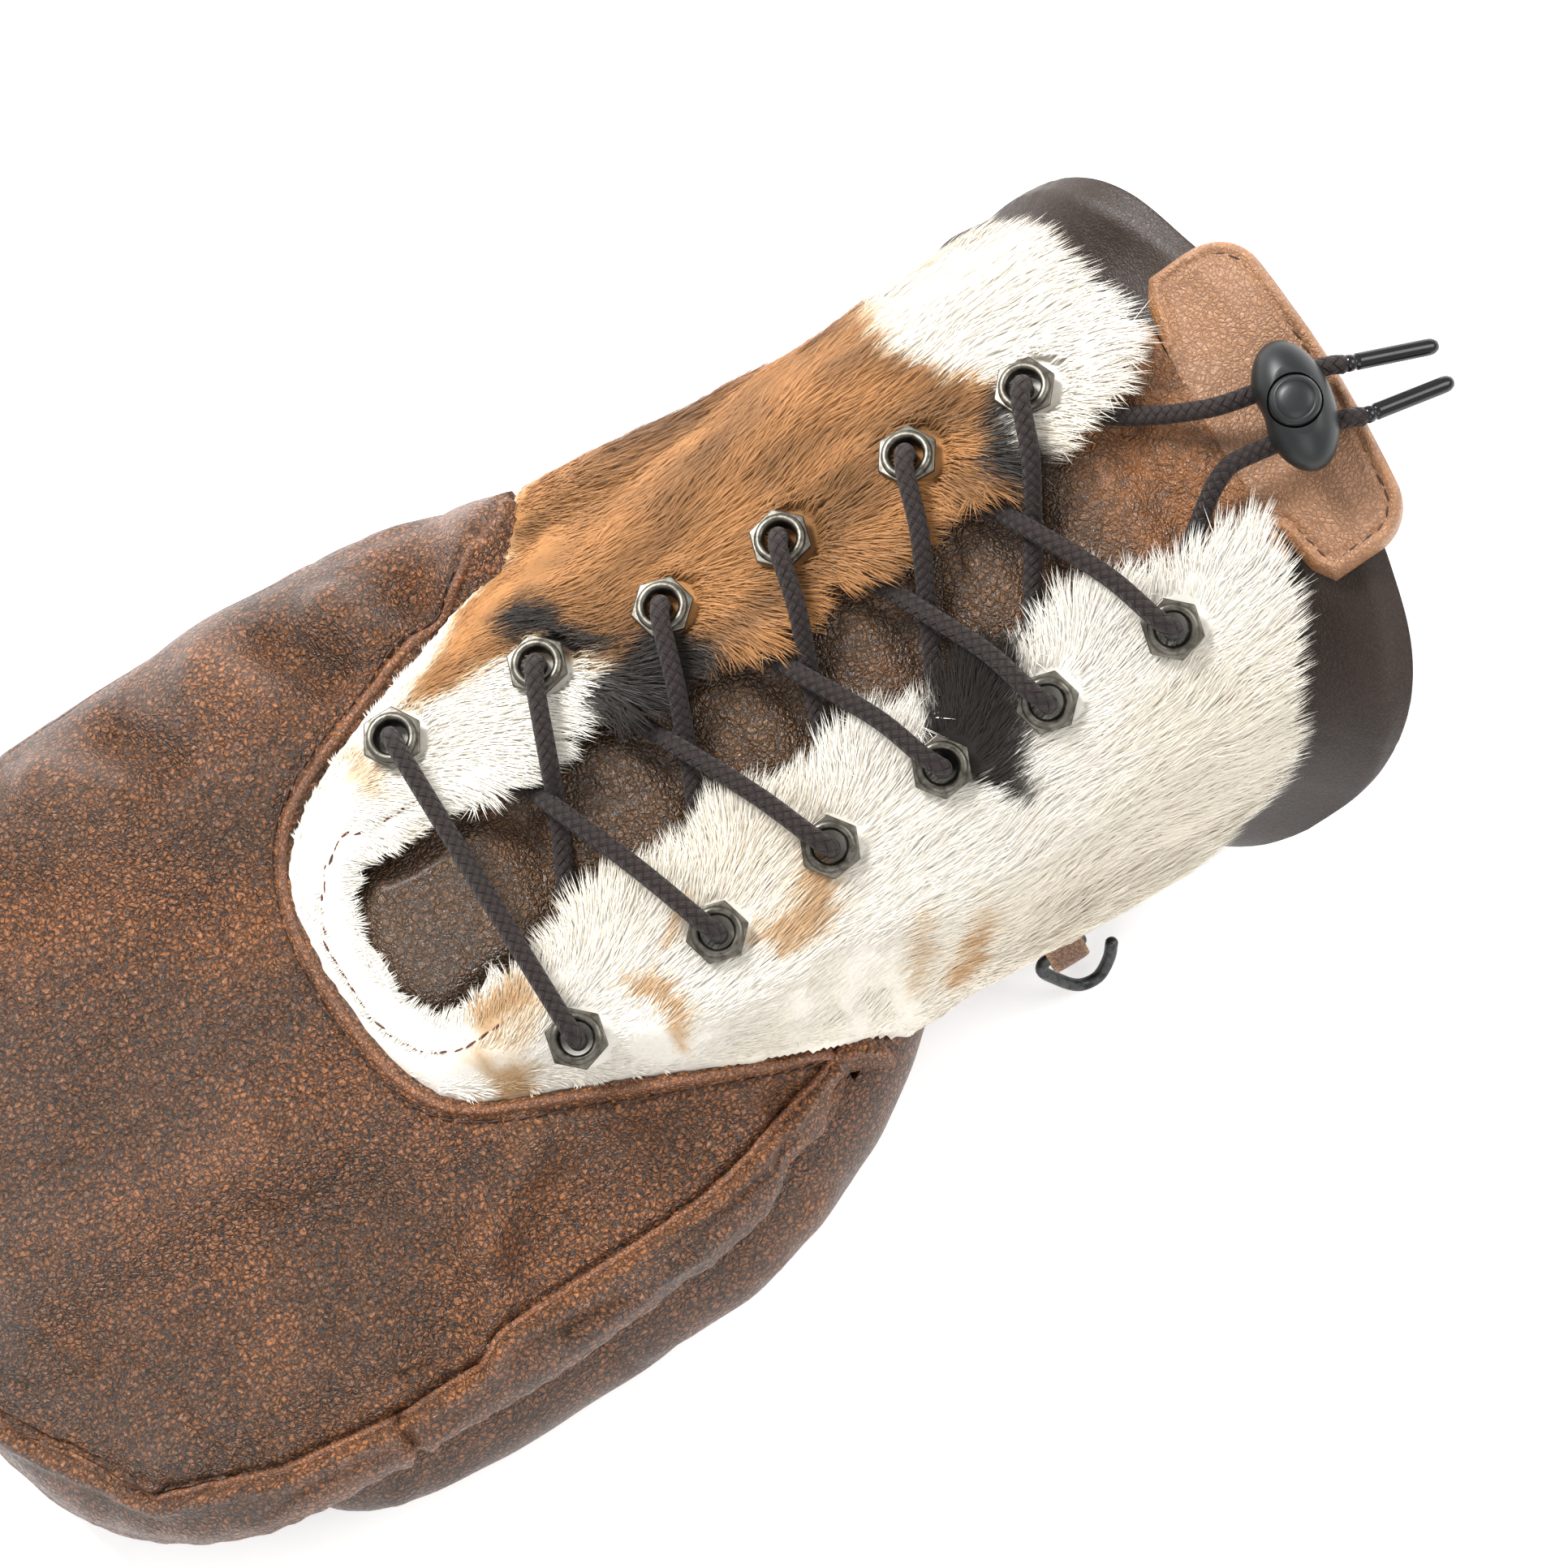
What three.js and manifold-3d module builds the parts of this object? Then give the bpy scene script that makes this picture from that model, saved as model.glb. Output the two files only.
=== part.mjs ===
// A brown leather lace-up mitten for the right hand, lying palm down.
// Millimetres. +X runs from the fingertips to the cuff, +Y is the little finger side,
// -Y is the thumb side and +Z is up out of the back of the hand.
import * as THREE from "three";
import { mergeVertices } from "three/addons/utils/BufferGeometryUtils.js";
import Module from "manifold-3d";

const wasm = await Module();
wasm.setup();

// Driving sizes
const GAP = 0.3;
const LEATHER = 2.6;
const THUMB_LEATHER = 2.2;
const TONGUE_LEATHER = 2.0;
const TAB_LEATHER = 3.3;
const PELT = 3.4;
const PELT_LIFT = 6.4;
const HIDE_TOP = PELT_LIFT + PELT;
const RING_SIDES = 24;
const THUMB_SIDES = 16;
const CENTRE_Y = 4;

// The origin: under the middle of the whole, on the surface that it lies on
const ORIGIN = { x: 17.6, y: 0.25 };

const FINGERTIP = { x: -126, y: 1, z: 19 };
const LOFT_END = 152;

// Plan width and heights of the hand and the gauntlet.
// outer: little finger side, inner: thumb side, top: crest of the back,
// side: height of the widest point, nest: how far the thumb lifts the underside
const SECTIONS = [
  { x: -124.6, outer: 15, inner: -13, top: 26, side: 18, nest: 0 },
  { x: -120, outer: 31, inner: -28, top: 33, side: 19, nest: 0 },
  { x: -111, outer: 46, inner: -42, top: 38.5, side: 21, nest: 3 },
  { x: -98, outer: 57, inner: -53, top: 43, side: 24, nest: 21 },
  { x: -84, outer: 62, inner: -59, top: 46.5, side: 27, nest: 33 },
  { x: -66, outer: 64, inner: -62, top: 50, side: 29, nest: 36 },
  { x: -45, outer: 64.5, inner: -62.5, top: 53, side: 30, nest: 36.5 },
  { x: -24, outer: 65, inner: -61.5, top: 55.5, side: 30, nest: 36.5 },
  { x: -6, outer: 64, inner: -60, top: 57, side: 30, nest: 36 },
  { x: 8, outer: 62, inner: -57.5, top: 58, side: 31, nest: 33 },
  { x: 20, outer: 58.5, inner: -53, top: 59, side: 31, nest: 27 },
  { x: 32, outer: 54, inner: -46, top: 60, side: 32, nest: 19 },
  { x: 46, outer: 51, inner: -41.5, top: 61, side: 33, nest: 12 },
  { x: 62, outer: 49, inner: -40, top: 62.5, side: 34, nest: 6 },
  { x: 80, outer: 48, inner: -40, top: 64.5, side: 35, nest: 2 },
  { x: 96, outer: 48.5, inner: -40.5, top: 66, side: 36, nest: 0 },
  { x: 110, outer: 49, inner: -41, top: 67.5, side: 37, nest: 0 },
  { x: 124, outer: 49.5, inner: -41.5, top: 69, side: 38, nest: 0 },
  { x: 137, outer: 50, inner: -42, top: 70, side: 38, nest: 0 },
  { x: LOFT_END, outer: 50, inner: -42, top: 71, side: 38, nest: 0 },
];
const STATIONS = [
  -124.6, -120, -111, -98, -84, -66, -45, -26, -10, 3, 12, 21, 30, 40, 54, 70, 86, 97, 107,
  117, 127, 138, LOFT_END,
];
const TOP_ROUNDNESS = 2.35;
const SOLE_ROUNDNESS = 3.4;
const SOLE_FLATTENING = 1.6;
const THUMB_SIDE_LIFT = 0.42;
const NEST_FROM_Y = 1;
const NEST_TO_Y = -30;

// The cuff mouth is a slanted plane, and the lip turns outwards before it
const MOUTH = { low: 88, rise: 50, height: 70 };
const LIP = { length: 17, flare: 8, crestShare: 0.2, ring: 20 };

// Folds of the leather: a dent along a line in plan, on the top or the side walls
const FOLDS = [
  { x: 14, y: -52, dx: 6, dy: 14, width: 3.2, depth: 2.0 },
  { x: 26, y: -48, dx: 5, dy: 12, width: 3.0, depth: 2.2 },
  { x: 35, y: -44, dx: 3, dy: 9, width: 2.8, depth: 1.6 },
  { x: 10, y: 55, dx: 12, dy: 10, width: 4.0, depth: 2.4 },
  { x: -14, y: 52, dx: 16, dy: -8, width: 4.5, depth: 1.8 },
  { x: -60, y: 20, dx: 22, dy: 16, width: 7.0, depth: 1.4 },
];

// The thumb is a tube along X; low and high are its heights, half its half width
const THUMB = [
  { x: -85.6, y: -41, half: 8, low: 8, high: 23 },
  { x: -81, y: -41.5, half: 15.5, low: 2.5, high: 28 },
  { x: -72, y: -42, half: 20.5, low: 0, high: 31 },
  { x: -52, y: -42, half: 22.5, low: 0, high: 32 },
  { x: -28, y: -41.5, half: 22.5, low: 0, high: 32 },
  { x: -6, y: -40.5, half: 22, low: 0, high: 32 },
  { x: 10, y: -38.5, half: 20, low: 0, high: 35 },
  { x: 24, y: -35, half: 17, low: 2, high: 38 },
  { x: 36, y: -31, half: 13, low: 9, high: 38 },
  { x: 44, y: -28, half: 9, low: 15, high: 36 },
];
const THUMB_TIP = { x: -88, y: -41, z: 15 };
const THUMB_ROUNDNESS = 2.3;

// Plan outlines as x, y
const FUR_FRONT = [
  [34, 80], [27, 52], [12.6, 46.5], [-0.1, 42.3], [-15.1, 36.6], [-24.9, 31.8], [-31.2, 26.2],
  [-34.6, 18], [-35.4, 7.5], [-34.6, -3.4], [-33.2, -11.3], [-30.4, -18.4], [-25, -23],
  [-11.4, -28.4], [11.7, -38], [32.6, -46], [48, -52], [56, -80],
];
const SLIT = [
  [-28.6, 4], [-27.4, 12], [-23, 18], [-17, 16.6], [-9, 15.2], [7, 17.2], [23, 17], [50, 14.6], [88, 16.4],
  [104, 15], [113.5, 18.4], [121, 25], [130, 31], [165, 34],
  [165, -22], [134, -18], [124, -12.4], [103, -8], [70, -7], [38, -6.4], [3, -7], [-12.8, -8.2],
  [-22, -10.6], [-27, -6],
];
const BAND_SEAM = [
  [-134, 10], [-124, -12], [-114, -29], [-99, -47.5], [-81.5, -54.6], [-60, -57.4], [-46, -57.2],
  [-40.7, -54.2], [-24, -54.4], [-3.5, -54.2], [5, -52.6], [20, -48.8], [34, -41], [60, -30],
];
const BAND_CROSS_SEAM = -61.8;
const TONGUE_OUTLINE = [
  [-32.5, -2], [-32.5, 10], [-27, 20], [-10, 23], [60, 22], [112, 22], [124.6, 25.5],
  [124.6, -17.5], [112, -15], [60, -13.5], [-10, -14], [-27, -12],
];
const TAB = { x0: 125, x1: 146, y0: -23.8, y1: 31.4, corner: 9, bow: 1.6 };
const FUR_UNDER_EDGE = 8;
const FUR_HEM_Z = 22;
const FUR_MOUTH_MARGIN = 14;

// Rows of eyelets as x, y
const EYELETS_UPPER = [
  [-6.5, 31.6], [18.5, 29.3], [39.6, 26.6], [60.8, 25.8], [84.1, 26.3], [105, 25.6],
];
const EYELETS_LOWER = [
  [-5.8, -23.2], [20.9, -20.6], [42.4, -18.4], [63.9, -17], [82.7, -17.2], [104.9, -17.8],
];
// Where the lace comes out from under each flap, as x, y
const LACE_OUT_UPPER = [[6.8, 14.4], [27, 13.2], [49, 12.2], [69, 13.4], [90, 13.6], [114.5, 14.6]];
const LACE_OUT_LOWER = [[2.6, -4.6], [26, -5.6], [49, -4.6], [69, -4.8], [87, -4.6], [114, -7.2]];
const EYELET = {
  acrossFlats: 8.8, flange: 0.9, bore: 2.6, barrel: 3.25, rim: 3.8, rimHeight: 1.5, sides: 8, seat: 5.9,
};
const LACE = {
  radius: 1.5, sides: 8, under: 4.25, edge: 4.7, low: 6.0, high: 9.6, over: 12.6, rim: 14.1, reach: 3.1,
  overUpperY: 15.4, overLowerY: -6.6,
};
const LOCK = { x: 137, y: 0.7, turn: -11, length: 21, width: 12, height: 12.4, holeY: 4.3, holeZ: 4.2, sides: 16 };
const BUTTON = { radius: 4, travel: 2.5, floor: 6.7, crown: 1.6 };
const AGLET = { radius: 1.35, length: 15 };
const HOOK = { x: 67, y: -48.6, z: 9.2, wire: 1.05, width: 12, height: 13, lean: 26 };
const STRAP = { thick: 1.3, width: 6.5, innerRadius: 1.6, tail: 13, lean: 20 };

// Colours of the pieces
const LOOK = {
  leather: { color: 0x5c3e28, roughness: 0.62, metalness: 0 },
  lining: { color: 0x3a2e28, roughness: 0.5, metalness: 0 },
  fur: { color: 0xd8cbb4, roughness: 0.95, metalness: 0 },
  tongue: { color: 0x5a4030, roughness: 0.42, metalness: 0 },
  tab: { color: 0x96694a, roughness: 0.5, metalness: 0 },
  lace: { color: 0x423432, roughness: 0.8, metalness: 0 },
  nickel: { color: 0x8c8a80, roughness: 0.35, metalness: 1 },
  lock: { color: 0x262a2a, roughness: 0.6, metalness: 0 },
  gloss: { color: 0x101010, roughness: 0.15, metalness: 0 },
  steel: { color: 0x3e4040, roughness: 0.4, metalness: 1 },
};

const mitten = new THREE.Group();
mitten.position.set(-ORIGIN.x, -ORIGIN.y, 0);
const vector = (x, y, z) => new THREE.Vector3(x, y, z);
const clamp01 = (value) => Math.min(1, Math.max(0, value));
const smooth = (value) => {
  const s = clamp01(value);
  return s * s * (3 - 2 * s);
};
const power = (value, exponent) => Math.sign(value) * Math.abs(value) ** exponent;

// Solids and booleans

function signedVolume(corners, faces) {
  const corner = (i) => vector(corners[3 * i], corners[3 * i + 1], corners[3 * i + 2]);
  let volume = 0;
  for (let i = 0; i < faces.length; i += 3) {
    volume += corner(faces[i]).dot(corner(faces[i + 1]).cross(corner(faces[i + 2]))) / 6;
  }
  return volume;
}

function toSolid(geometry) {
  const bare = geometry.clone();
  for (const name of Object.keys(bare.attributes)) {
    if (name !== "position") bare.deleteAttribute(name);
  }
  const merged = mergeVertices(bare, 1e-4);
  const corners = new Float32Array(merged.attributes.position.array);
  const faces = new Uint32Array(merged.index.array);
  if (signedVolume(corners, faces) < 0) {
    for (let i = 0; i < faces.length; i += 3) [faces[i], faces[i + 1]] = [faces[i + 1], faces[i]];
  }
  return new wasm.Manifold(new wasm.Mesh({ numProp: 3, vertProperties: corners, triVerts: faces }));
}

function toGeometry(solid) {
  const mesh = solid.getMesh();
  const geometry = new THREE.BufferGeometry();
  geometry.setAttribute("position", new THREE.BufferAttribute(new Float32Array(mesh.vertProperties), 3));
  geometry.setIndex(new THREE.BufferAttribute(new Uint32Array(mesh.triVerts), 1));
  geometry.computeVertexNormals();
  return geometry;
}

// Keeps the largest connected piece and drops the crumbs that a cut can leave
function mainBody(solid) {
  const bodies = solid.decompose();
  return bodies.reduce((best, body) => (body.volume() > best.volume() ? body : best));
}

function addPiece(name, geometry, look) {
  const mesh = new THREE.Mesh(geometry, new THREE.MeshStandardMaterial(LOOK[look]));
  mesh.name = name;
  mitten.add(mesh);
  return mesh;
}

// A closed solid through rings of equal length, with a point at either end
function ringSolid(start, rings, end) {
  const sides = rings[0].length;
  const positions = [...start.toArray()];
  rings.forEach((ring) => ring.forEach((point) => positions.push(...point.toArray())));
  positions.push(...end.toArray());
  const index = [];
  const at = (ring, side) => 1 + ring * sides + (side % sides);
  const last = 1 + rings.length * sides;
  for (let side = 0; side < sides; side += 1) {
    index.push(0, at(0, side + 1), at(0, side));
    index.push(last, at(rings.length - 1, side), at(rings.length - 1, side + 1));
    for (let ring = 0; ring < rings.length - 1; ring += 1) {
      index.push(at(ring, side), at(ring, side + 1), at(ring + 1, side + 1));
      index.push(at(ring, side), at(ring + 1, side + 1), at(ring + 1, side));
    }
  }
  const geometry = new THREE.BufferGeometry();
  geometry.setAttribute("position", new THREE.Float32BufferAttribute(positions, 3));
  geometry.setIndex(index);
  return toSolid(geometry);
}

// An upright prism over a plan outline
function prism(outline, low, high) {
  const shape = new THREE.Shape(outline.map(([x, y]) => new THREE.Vector2(x, y)));
  const geometry = new THREE.ExtrudeGeometry(shape, { depth: high - low, bevelEnabled: false });
  geometry.translate(0, 0, low);
  return toSolid(geometry);
}

// A slab lying along Y whose outline is given as x, z
function sideSlab(outline) {
  const shape = new THREE.Shape(outline.map(([x, z]) => new THREE.Vector2(x, z)));
  const geometry = new THREE.ExtrudeGeometry(shape, { depth: 240, bevelEnabled: false });
  geometry.rotateX(Math.PI / 2);
  geometry.translate(0, 120, 0);
  return toSolid(geometry);
}

// All that lies beyond the mouth plane moved back by a margin
function beyondMouth(margin) {
  const slope = MOUTH.rise / MOUTH.height;
  const x = (z) => MOUTH.low + slope * z - margin;
  return sideSlab([[x(-30), -30], [260, -30], [260, 150], [x(150), 150]]);
}

// Moves a closed outline outwards by a distance
function grown(outline, distance) {
  const turn = THREE.ShapeUtils.area(outline.map(([x, y]) => new THREE.Vector2(x, y))) > 0 ? 1 : -1;
  return outline.map((point, i) => {
    const before = outline[(i + outline.length - 1) % outline.length];
    const after = outline[(i + 1) % outline.length];
    const dx = after[0] - before[0];
    const dy = after[1] - before[1];
    const length = Math.hypot(dx, dy);
    return [point[0] + (turn * distance * dy) / length, point[1] - (turn * distance * dx) / length];
  });
}

// The hand's outer surface

// A column of a table at x, through its rows by a smooth cubic
function column(rows, name, x) {
  const last = rows.length - 1;
  if (x <= rows[0].x) return rows[0][name];
  if (x >= rows[last].x) return rows[last][name];
  const i = rows.findIndex((row) => row.x > x) - 1;
  const slope = (k) => {
    const a = rows[Math.max(0, k - 1)];
    const b = rows[Math.min(last, k + 1)];
    return (b[name] - a[name]) / (b.x - a.x);
  };
  const span = rows[i + 1].x - rows[i].x;
  const s = (x - rows[i].x) / span;
  const [a, b] = [rows[i][name], rows[i + 1][name]];
  const cubic = 2 * s ** 3 - 3 * s ** 2 + 1;
  const leave = (s ** 3 - 2 * s ** 2 + s) * span * slope(i);
  const arrive = (s ** 3 - s ** 2) * span * slope(i + 1);
  return cubic * a + (1 - cubic) * b + leave + arrive;
}

// The underside's height: nothing at the palm, lifted over the thumb
function underside(x, y) {
  const nest = Math.max(0, column(SECTIONS, "nest", x));
  return nest * smooth((NEST_FROM_Y - y) / (NEST_FROM_Y - NEST_TO_Y));
}

// Height of the widest point on the little finger side (share 0) or the thumb side (share 1)
function sideHeight(x, share) {
  return column(SECTIONS, "side", x) + THUMB_SIDE_LIFT * column(SECTIONS, "nest", x) * share;
}

function sectionPoint(x, t) {
  const outer = column(SECTIONS, "outer", x);
  const inner = column(SECTIONS, "inner", x);
  const y = (outer + inner) / 2 + ((outer - inner) / 2) * power(Math.cos(t), 2 / TOP_ROUNDNESS);
  const side = sideHeight(x, (1 - Math.cos(t)) / 2);
  const up = Math.sin(t);
  if (up >= 0) {
    return vector(x, y, side + (column(SECTIONS, "top", x) - side) * up ** (2 / TOP_ROUNDNESS));
  }
  const floor = underside(x, y);
  const drop = (side - floor) * Math.abs(up) ** (2 / SOLE_ROUNDNESS) + SOLE_FLATTENING * Math.abs(up);
  return vector(x, y, Math.max(floor, side - drop));
}

function sectionNormal(x, t) {
  const step = 0.09;
  const along = sectionPoint(x + 0.5, t).sub(sectionPoint(x - 0.5, t));
  const around = sectionPoint(x, t + step).sub(sectionPoint(x, t - step));
  return around.cross(along).normalize();
}

// How far the lip turns out, from the distance to the mouth plane
function lipFlare(point, t) {
  const distance = MOUTH.low + (MOUTH.rise * point.z) / MOUTH.height - point.x;
  const near = clamp01(1 - distance / LIP.length);
  const share = LIP.crestShare + (1 - LIP.crestShare) * Math.abs(Math.cos(t));
  const aboveSole = smooth(point.z / 16);
  return LIP.flare * Math.min(1.4, near ** 2) * share * aboveSole;
}

function foldDepth(point) {
  let depth = 0;
  for (const fold of FOLDS) {
    const length = Math.hypot(fold.dx, fold.dy);
    const [ux, uy] = [fold.dx / length, fold.dy / length];
    const [px, py] = [point.x - fold.x, point.y - fold.y];
    const along = (px * ux + py * uy) / length;
    const across = (py * ux - px * uy) / fold.width;
    depth += fold.depth * Math.exp(-along * along - across * across);
  }
  return depth * smooth((point.z - 30) / 14);
}

// A point of the outer surface pushed out by an offset
function skin(x, t, offset = 0) {
  const point = sectionPoint(x, t);
  const normal = sectionNormal(x, t);
  const push = offset + lipFlare(point, t) - foldDepth(point);
  return point.addScaledVector(normal, push);
}

// The mitten's whole volume, pushed out by a number or by a function of the point
function handVolume(offset) {
  const amount = typeof offset === "function" ? offset : () => offset;
  const rings = STATIONS.map((x) => Array.from({ length: RING_SIDES }, (_, i) => {
    const t = (2 * Math.PI * i) / RING_SIDES;
    return skin(x, t, amount(sectionPoint(x, t)));
  }));
  const tip = vector(FINGERTIP.x - amount(FINGERTIP), FINGERTIP.y, FINGERTIP.z);
  return ringSolid(tip, rings, vector(rings.at(-1)[0].x + 1, CENTRE_Y, 35));
}

// The angle on the back whose surface point, pushed out, has this y
function angleAt(x, y, offset) {
  let [low, high] = [0.05, Math.PI - 0.05];
  for (let i = 0; i < 30; i += 1) {
    const middle = (low + high) / 2;
    if (skin(x, middle, offset).y > y) low = middle;
    else high = middle;
  }
  return (low + high) / 2;
}

// A point on the back at plan x, y, an offset above the leather
function above(x, y, offset) {
  const point = skin(x, angleAt(x, y, offset), offset);
  return vector(x, y, point.z);
}

// How far the fur stands off the leather: the lace and the tongue lift it along the slit
function furLift(point) {
  const beside = smooth((43 - Math.abs(point.y - CENTRE_Y)) / 11);
  const along = smooth((point.x + 31) / 15);
  return GAP + (PELT_LIFT - GAP) * beside * along;
}

// Panels

const outerVolume = handVolume(0);
const innerVolume = handVolume(-LEATHER);
const shell = outerVolume.subtract(innerVolume).subtract(beyondMouth(0));

// Everything under the palm seam, lifted by a margin
function palmRegion(margin) {
  const rings = [-160, ...STATIONS].map((x) => {
    const littleFinger = sideHeight(x, 0) * 0.5 + margin;
    const thumb = sideHeight(x, 1) - 3 + margin;
    return [
      vector(x, 120, -20), vector(x, 120, littleFinger), vector(x, 24, littleFinger),
      vector(x, -18, thumb), vector(x, -120, thumb), vector(x, -120, -20),
    ];
  });
  return ringSolid(vector(-161, 0, 0), rings, vector(LOFT_END + 1, 0, 0));
}

// Everything on the cuff side of the fur's front edge moved by a distance
function furSide(distance) {
  const front = FUR_FRONT.map(([x, y]) => [x + distance, y]);
  return prism([...front, [190, -80], [190, 80]], -20, 120);
}

function thumbVolume(offset) {
  const rings = THUMB.map((row) => Array.from({ length: THUMB_SIDES }, (_, i) => {
    const t = (2 * Math.PI * i) / THUMB_SIDES;
    const middle = (row.low + row.high) / 2;
    const y = row.y + (row.half + offset) * power(Math.cos(t), 2 / THUMB_ROUNDNESS);
    const z = middle + ((row.high - row.low) / 2 + offset) * power(Math.sin(t), 2 / THUMB_ROUNDNESS);
    return vector(row.x - offset * smooth((-60 - row.x) / 25), y, z);
  }));
  const end = THUMB.at(-1);
  return ringSolid(
    vector(THUMB_TIP.x - offset, THUMB_TIP.y, THUMB_TIP.z), rings,
    vector(end.x + 0.5, end.y, (end.low + end.high) / 2),
  );
}

function bandRegion(margin) {
  const seam = BAND_SEAM.map(([x, y]) => [x, y + margin]);
  return prism([...seam, [60, -100], [-134, -100]], -20, 120);
}

function addPanels() {
  const lip = beyondMouth(LIP.ring);
  const lipGap = beyondMouth(LIP.ring + GAP);
  const palm = palmRegion(0);
  const palmGap = palmRegion(GAP);
  const under = furSide(FUR_UNDER_EDGE);
  const underGap = furSide(FUR_UNDER_EDGE - GAP);
  const upper = shell.subtract(palmGap);
  const hand = upper.subtract(underGap);
  const band = hand.intersect(bandRegion(0));
  const fingers = sideSlab([[-200, -30], [BAND_CROSS_SEAM, -30], [BAND_CROSS_SEAM, 150], [-200, 150]]);
  const fingersGap = fingers.translate([GAP, 0, 0]);
  addPiece("back_panel", toGeometry(mainBody(hand.subtract(bandRegion(GAP)))), "leather");
  addPiece("finger_band", toGeometry(mainBody(band.intersect(fingers))), "leather");
  addPiece("wrist_band", toGeometry(mainBody(band.subtract(fingersGap))), "leather");
  const thumbHole = thumbVolume(-THUMB_LEATHER);
  const sole = shell.intersect(palm).subtract(lipGap).subtract(thumbHole);
  addPiece("palm_panel", toGeometry(mainBody(sole)), "leather");
  const lining = upper.intersect(under).subtract(lip).add(shell.intersect(lip));
  addPiece("cuff_lining", toGeometry(mainBody(lining)), "lining");
  const thumb = thumbVolume(0).subtract(thumbVolume(-THUMB_LEATHER)).subtract(handVolume(GAP));
  addPiece("thumb", toGeometry(mainBody(thumb)), "leather");
}

// The tongue and its tab

function tabOutline(margin) {
  const corner = TAB.corner;
  const [x1, y0, y1] = [TAB.x1 + margin, TAB.y0 - margin, TAB.y1 + margin];
  const points = [[TAB.x0 - margin, y0], [x1 - corner - 4, y0]];
  for (const turn of [0.25, 0.5, 0.75, 1]) {
    const angle = (turn * Math.PI) / 2;
    points.push([x1 - corner - 1 + corner * Math.sin(angle), y0 + corner * (1 - Math.cos(angle))]);
  }
  points.push([x1 + TAB.bow - 1, (y0 + y1) / 2]);
  for (const turn of [0, 0.25, 0.5, 0.75]) {
    const angle = (turn * Math.PI) / 2;
    points.push([x1 - corner - 1 + corner * Math.cos(angle), y1 - corner * (1 - Math.sin(angle))]);
  }
  points.push([x1 - corner - 4, y1], [TAB.x0 - margin, y1]);
  return points;
}

function addTongue() {
  const above0 = handVolume(GAP);
  const tongue = handVolume(GAP + TONGUE_LEATHER).subtract(above0).intersect(prism(TONGUE_OUTLINE, 30, 120));
  addPiece("tongue", toGeometry(mainBody(tongue)), "tongue");
  const tab = handVolume(GAP + TAB_LEATHER).subtract(above0).intersect(prism(tabOutline(0), 40, 120));
  addPiece("tongue_tab", toGeometry(mainBody(tab)), "tab");
}

// The fur hide with its locks

// A pointed lock of hair lying towards the cuff, rooted in the hide
function furLock(x, t, lift, length, radius, turn) {
  const root = skin(x, t, lift + PELT - 0.7);
  const normal = sectionNormal(x, t);
  const along = skin(x + 3, t, lift + PELT - 0.7).sub(root).normalize();
  along.applyAxisAngle(normal, turn);
  const lean = along.clone().addScaledVector(normal, 0.12).normalize();
  const cone = new THREE.ConeGeometry(radius, length, 3);
  cone.translate(0, length / 2, 0);
  cone.applyQuaternion(new THREE.Quaternion().setFromUnitVectors(vector(0, 1, 0), lean));
  cone.translate(root.x, root.y, root.z);
  return toSolid(cone);
}

// Rows of locks round the gauntlet, staggered and turned a little by their number
function furLocks() {
  const locks = [];
  for (let row = 0; row < 7; row += 1) {
    for (let place = 0; place < 8; place += 1) {
      const wobble = Math.sin((row * 8 + place) * 12.9898) * 0.5;
      const x = -12 + row * 19 + (place % 2) * 9 + wobble * 5;
      const t = 0.12 + (place / 7) * 2.9 + wobble * 0.04;
      const foot = skin(x, t, 0);
      locks.push(furLock(x, t, furLift(foot), 11 + wobble * 3, 2.5, wobble * 0.7));
    }
  }
  return locks;
}

function addFur() {
  const inside = handVolume(furLift);
  let hide = handVolume((point) => furLift(point) + PELT).subtract(inside);
  const region = furSide(0).subtract(prism(SLIT, -20, 120)).subtract(beyondMouth(FUR_MOUTH_MARGIN));
  hide = hide.intersect(region);
  const hem = sideSlab([[-200, FUR_HEM_Z], [-200, -30], [200, -30], [200, FUR_HEM_Z]]);
  hide = hide.subtract(hem);
  const rooted = furLocks().filter((lock) => lock.intersect(hide).volume() > lock.volume() * 0.25);
  for (const lock of rooted) hide = hide.add(lock);
  hide = hide.subtract(inside).subtract(prism(grown(tabOutline(0), GAP), 30, 120));
  const keepClear = handVolume(GAP + TONGUE_LEATHER + GAP).intersect(prism(grown(TONGUE_OUTLINE, GAP), 20, 120));
  hide = hide.subtract(keepClear).subtract(beyondMouth(FUR_MOUTH_MARGIN - 6)).subtract(thumbVolume(GAP));
  for (const [x, y] of [...EYELETS_UPPER, ...EYELETS_LOWER]) {
    const place = eyeletPlace(x, y);
    const bore = new THREE.CylinderGeometry(EYELET.barrel + GAP, EYELET.barrel + GAP, 30, EYELET.sides);
    bore.rotateX(Math.PI / 2);
    bore.applyQuaternion(place.turn);
    bore.translate(place.foot.x, place.foot.y, place.foot.z);
    const seat = new THREE.CylinderGeometry(EYELET.seat, EYELET.seat, 8, 8);
    seat.rotateX(Math.PI / 2);
    seat.translate(0, 0, HIDE_TOP + 4);
    seat.applyQuaternion(place.turn);
    seat.translate(place.foot.x, place.foot.y, place.foot.z);
    hide = hide.subtract(toSolid(bore)).subtract(toSolid(seat));
  }
  hide = hide.subtract(toSolid(strapGeometry(GAP))).subtract(toSolid(tube(lacePoints(), LACE.radius + 0.6, 5)));
  addPiece("fur_hide", toGeometry(mainBody(hide)), "fur");
}

// Eyelets and lace

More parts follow.
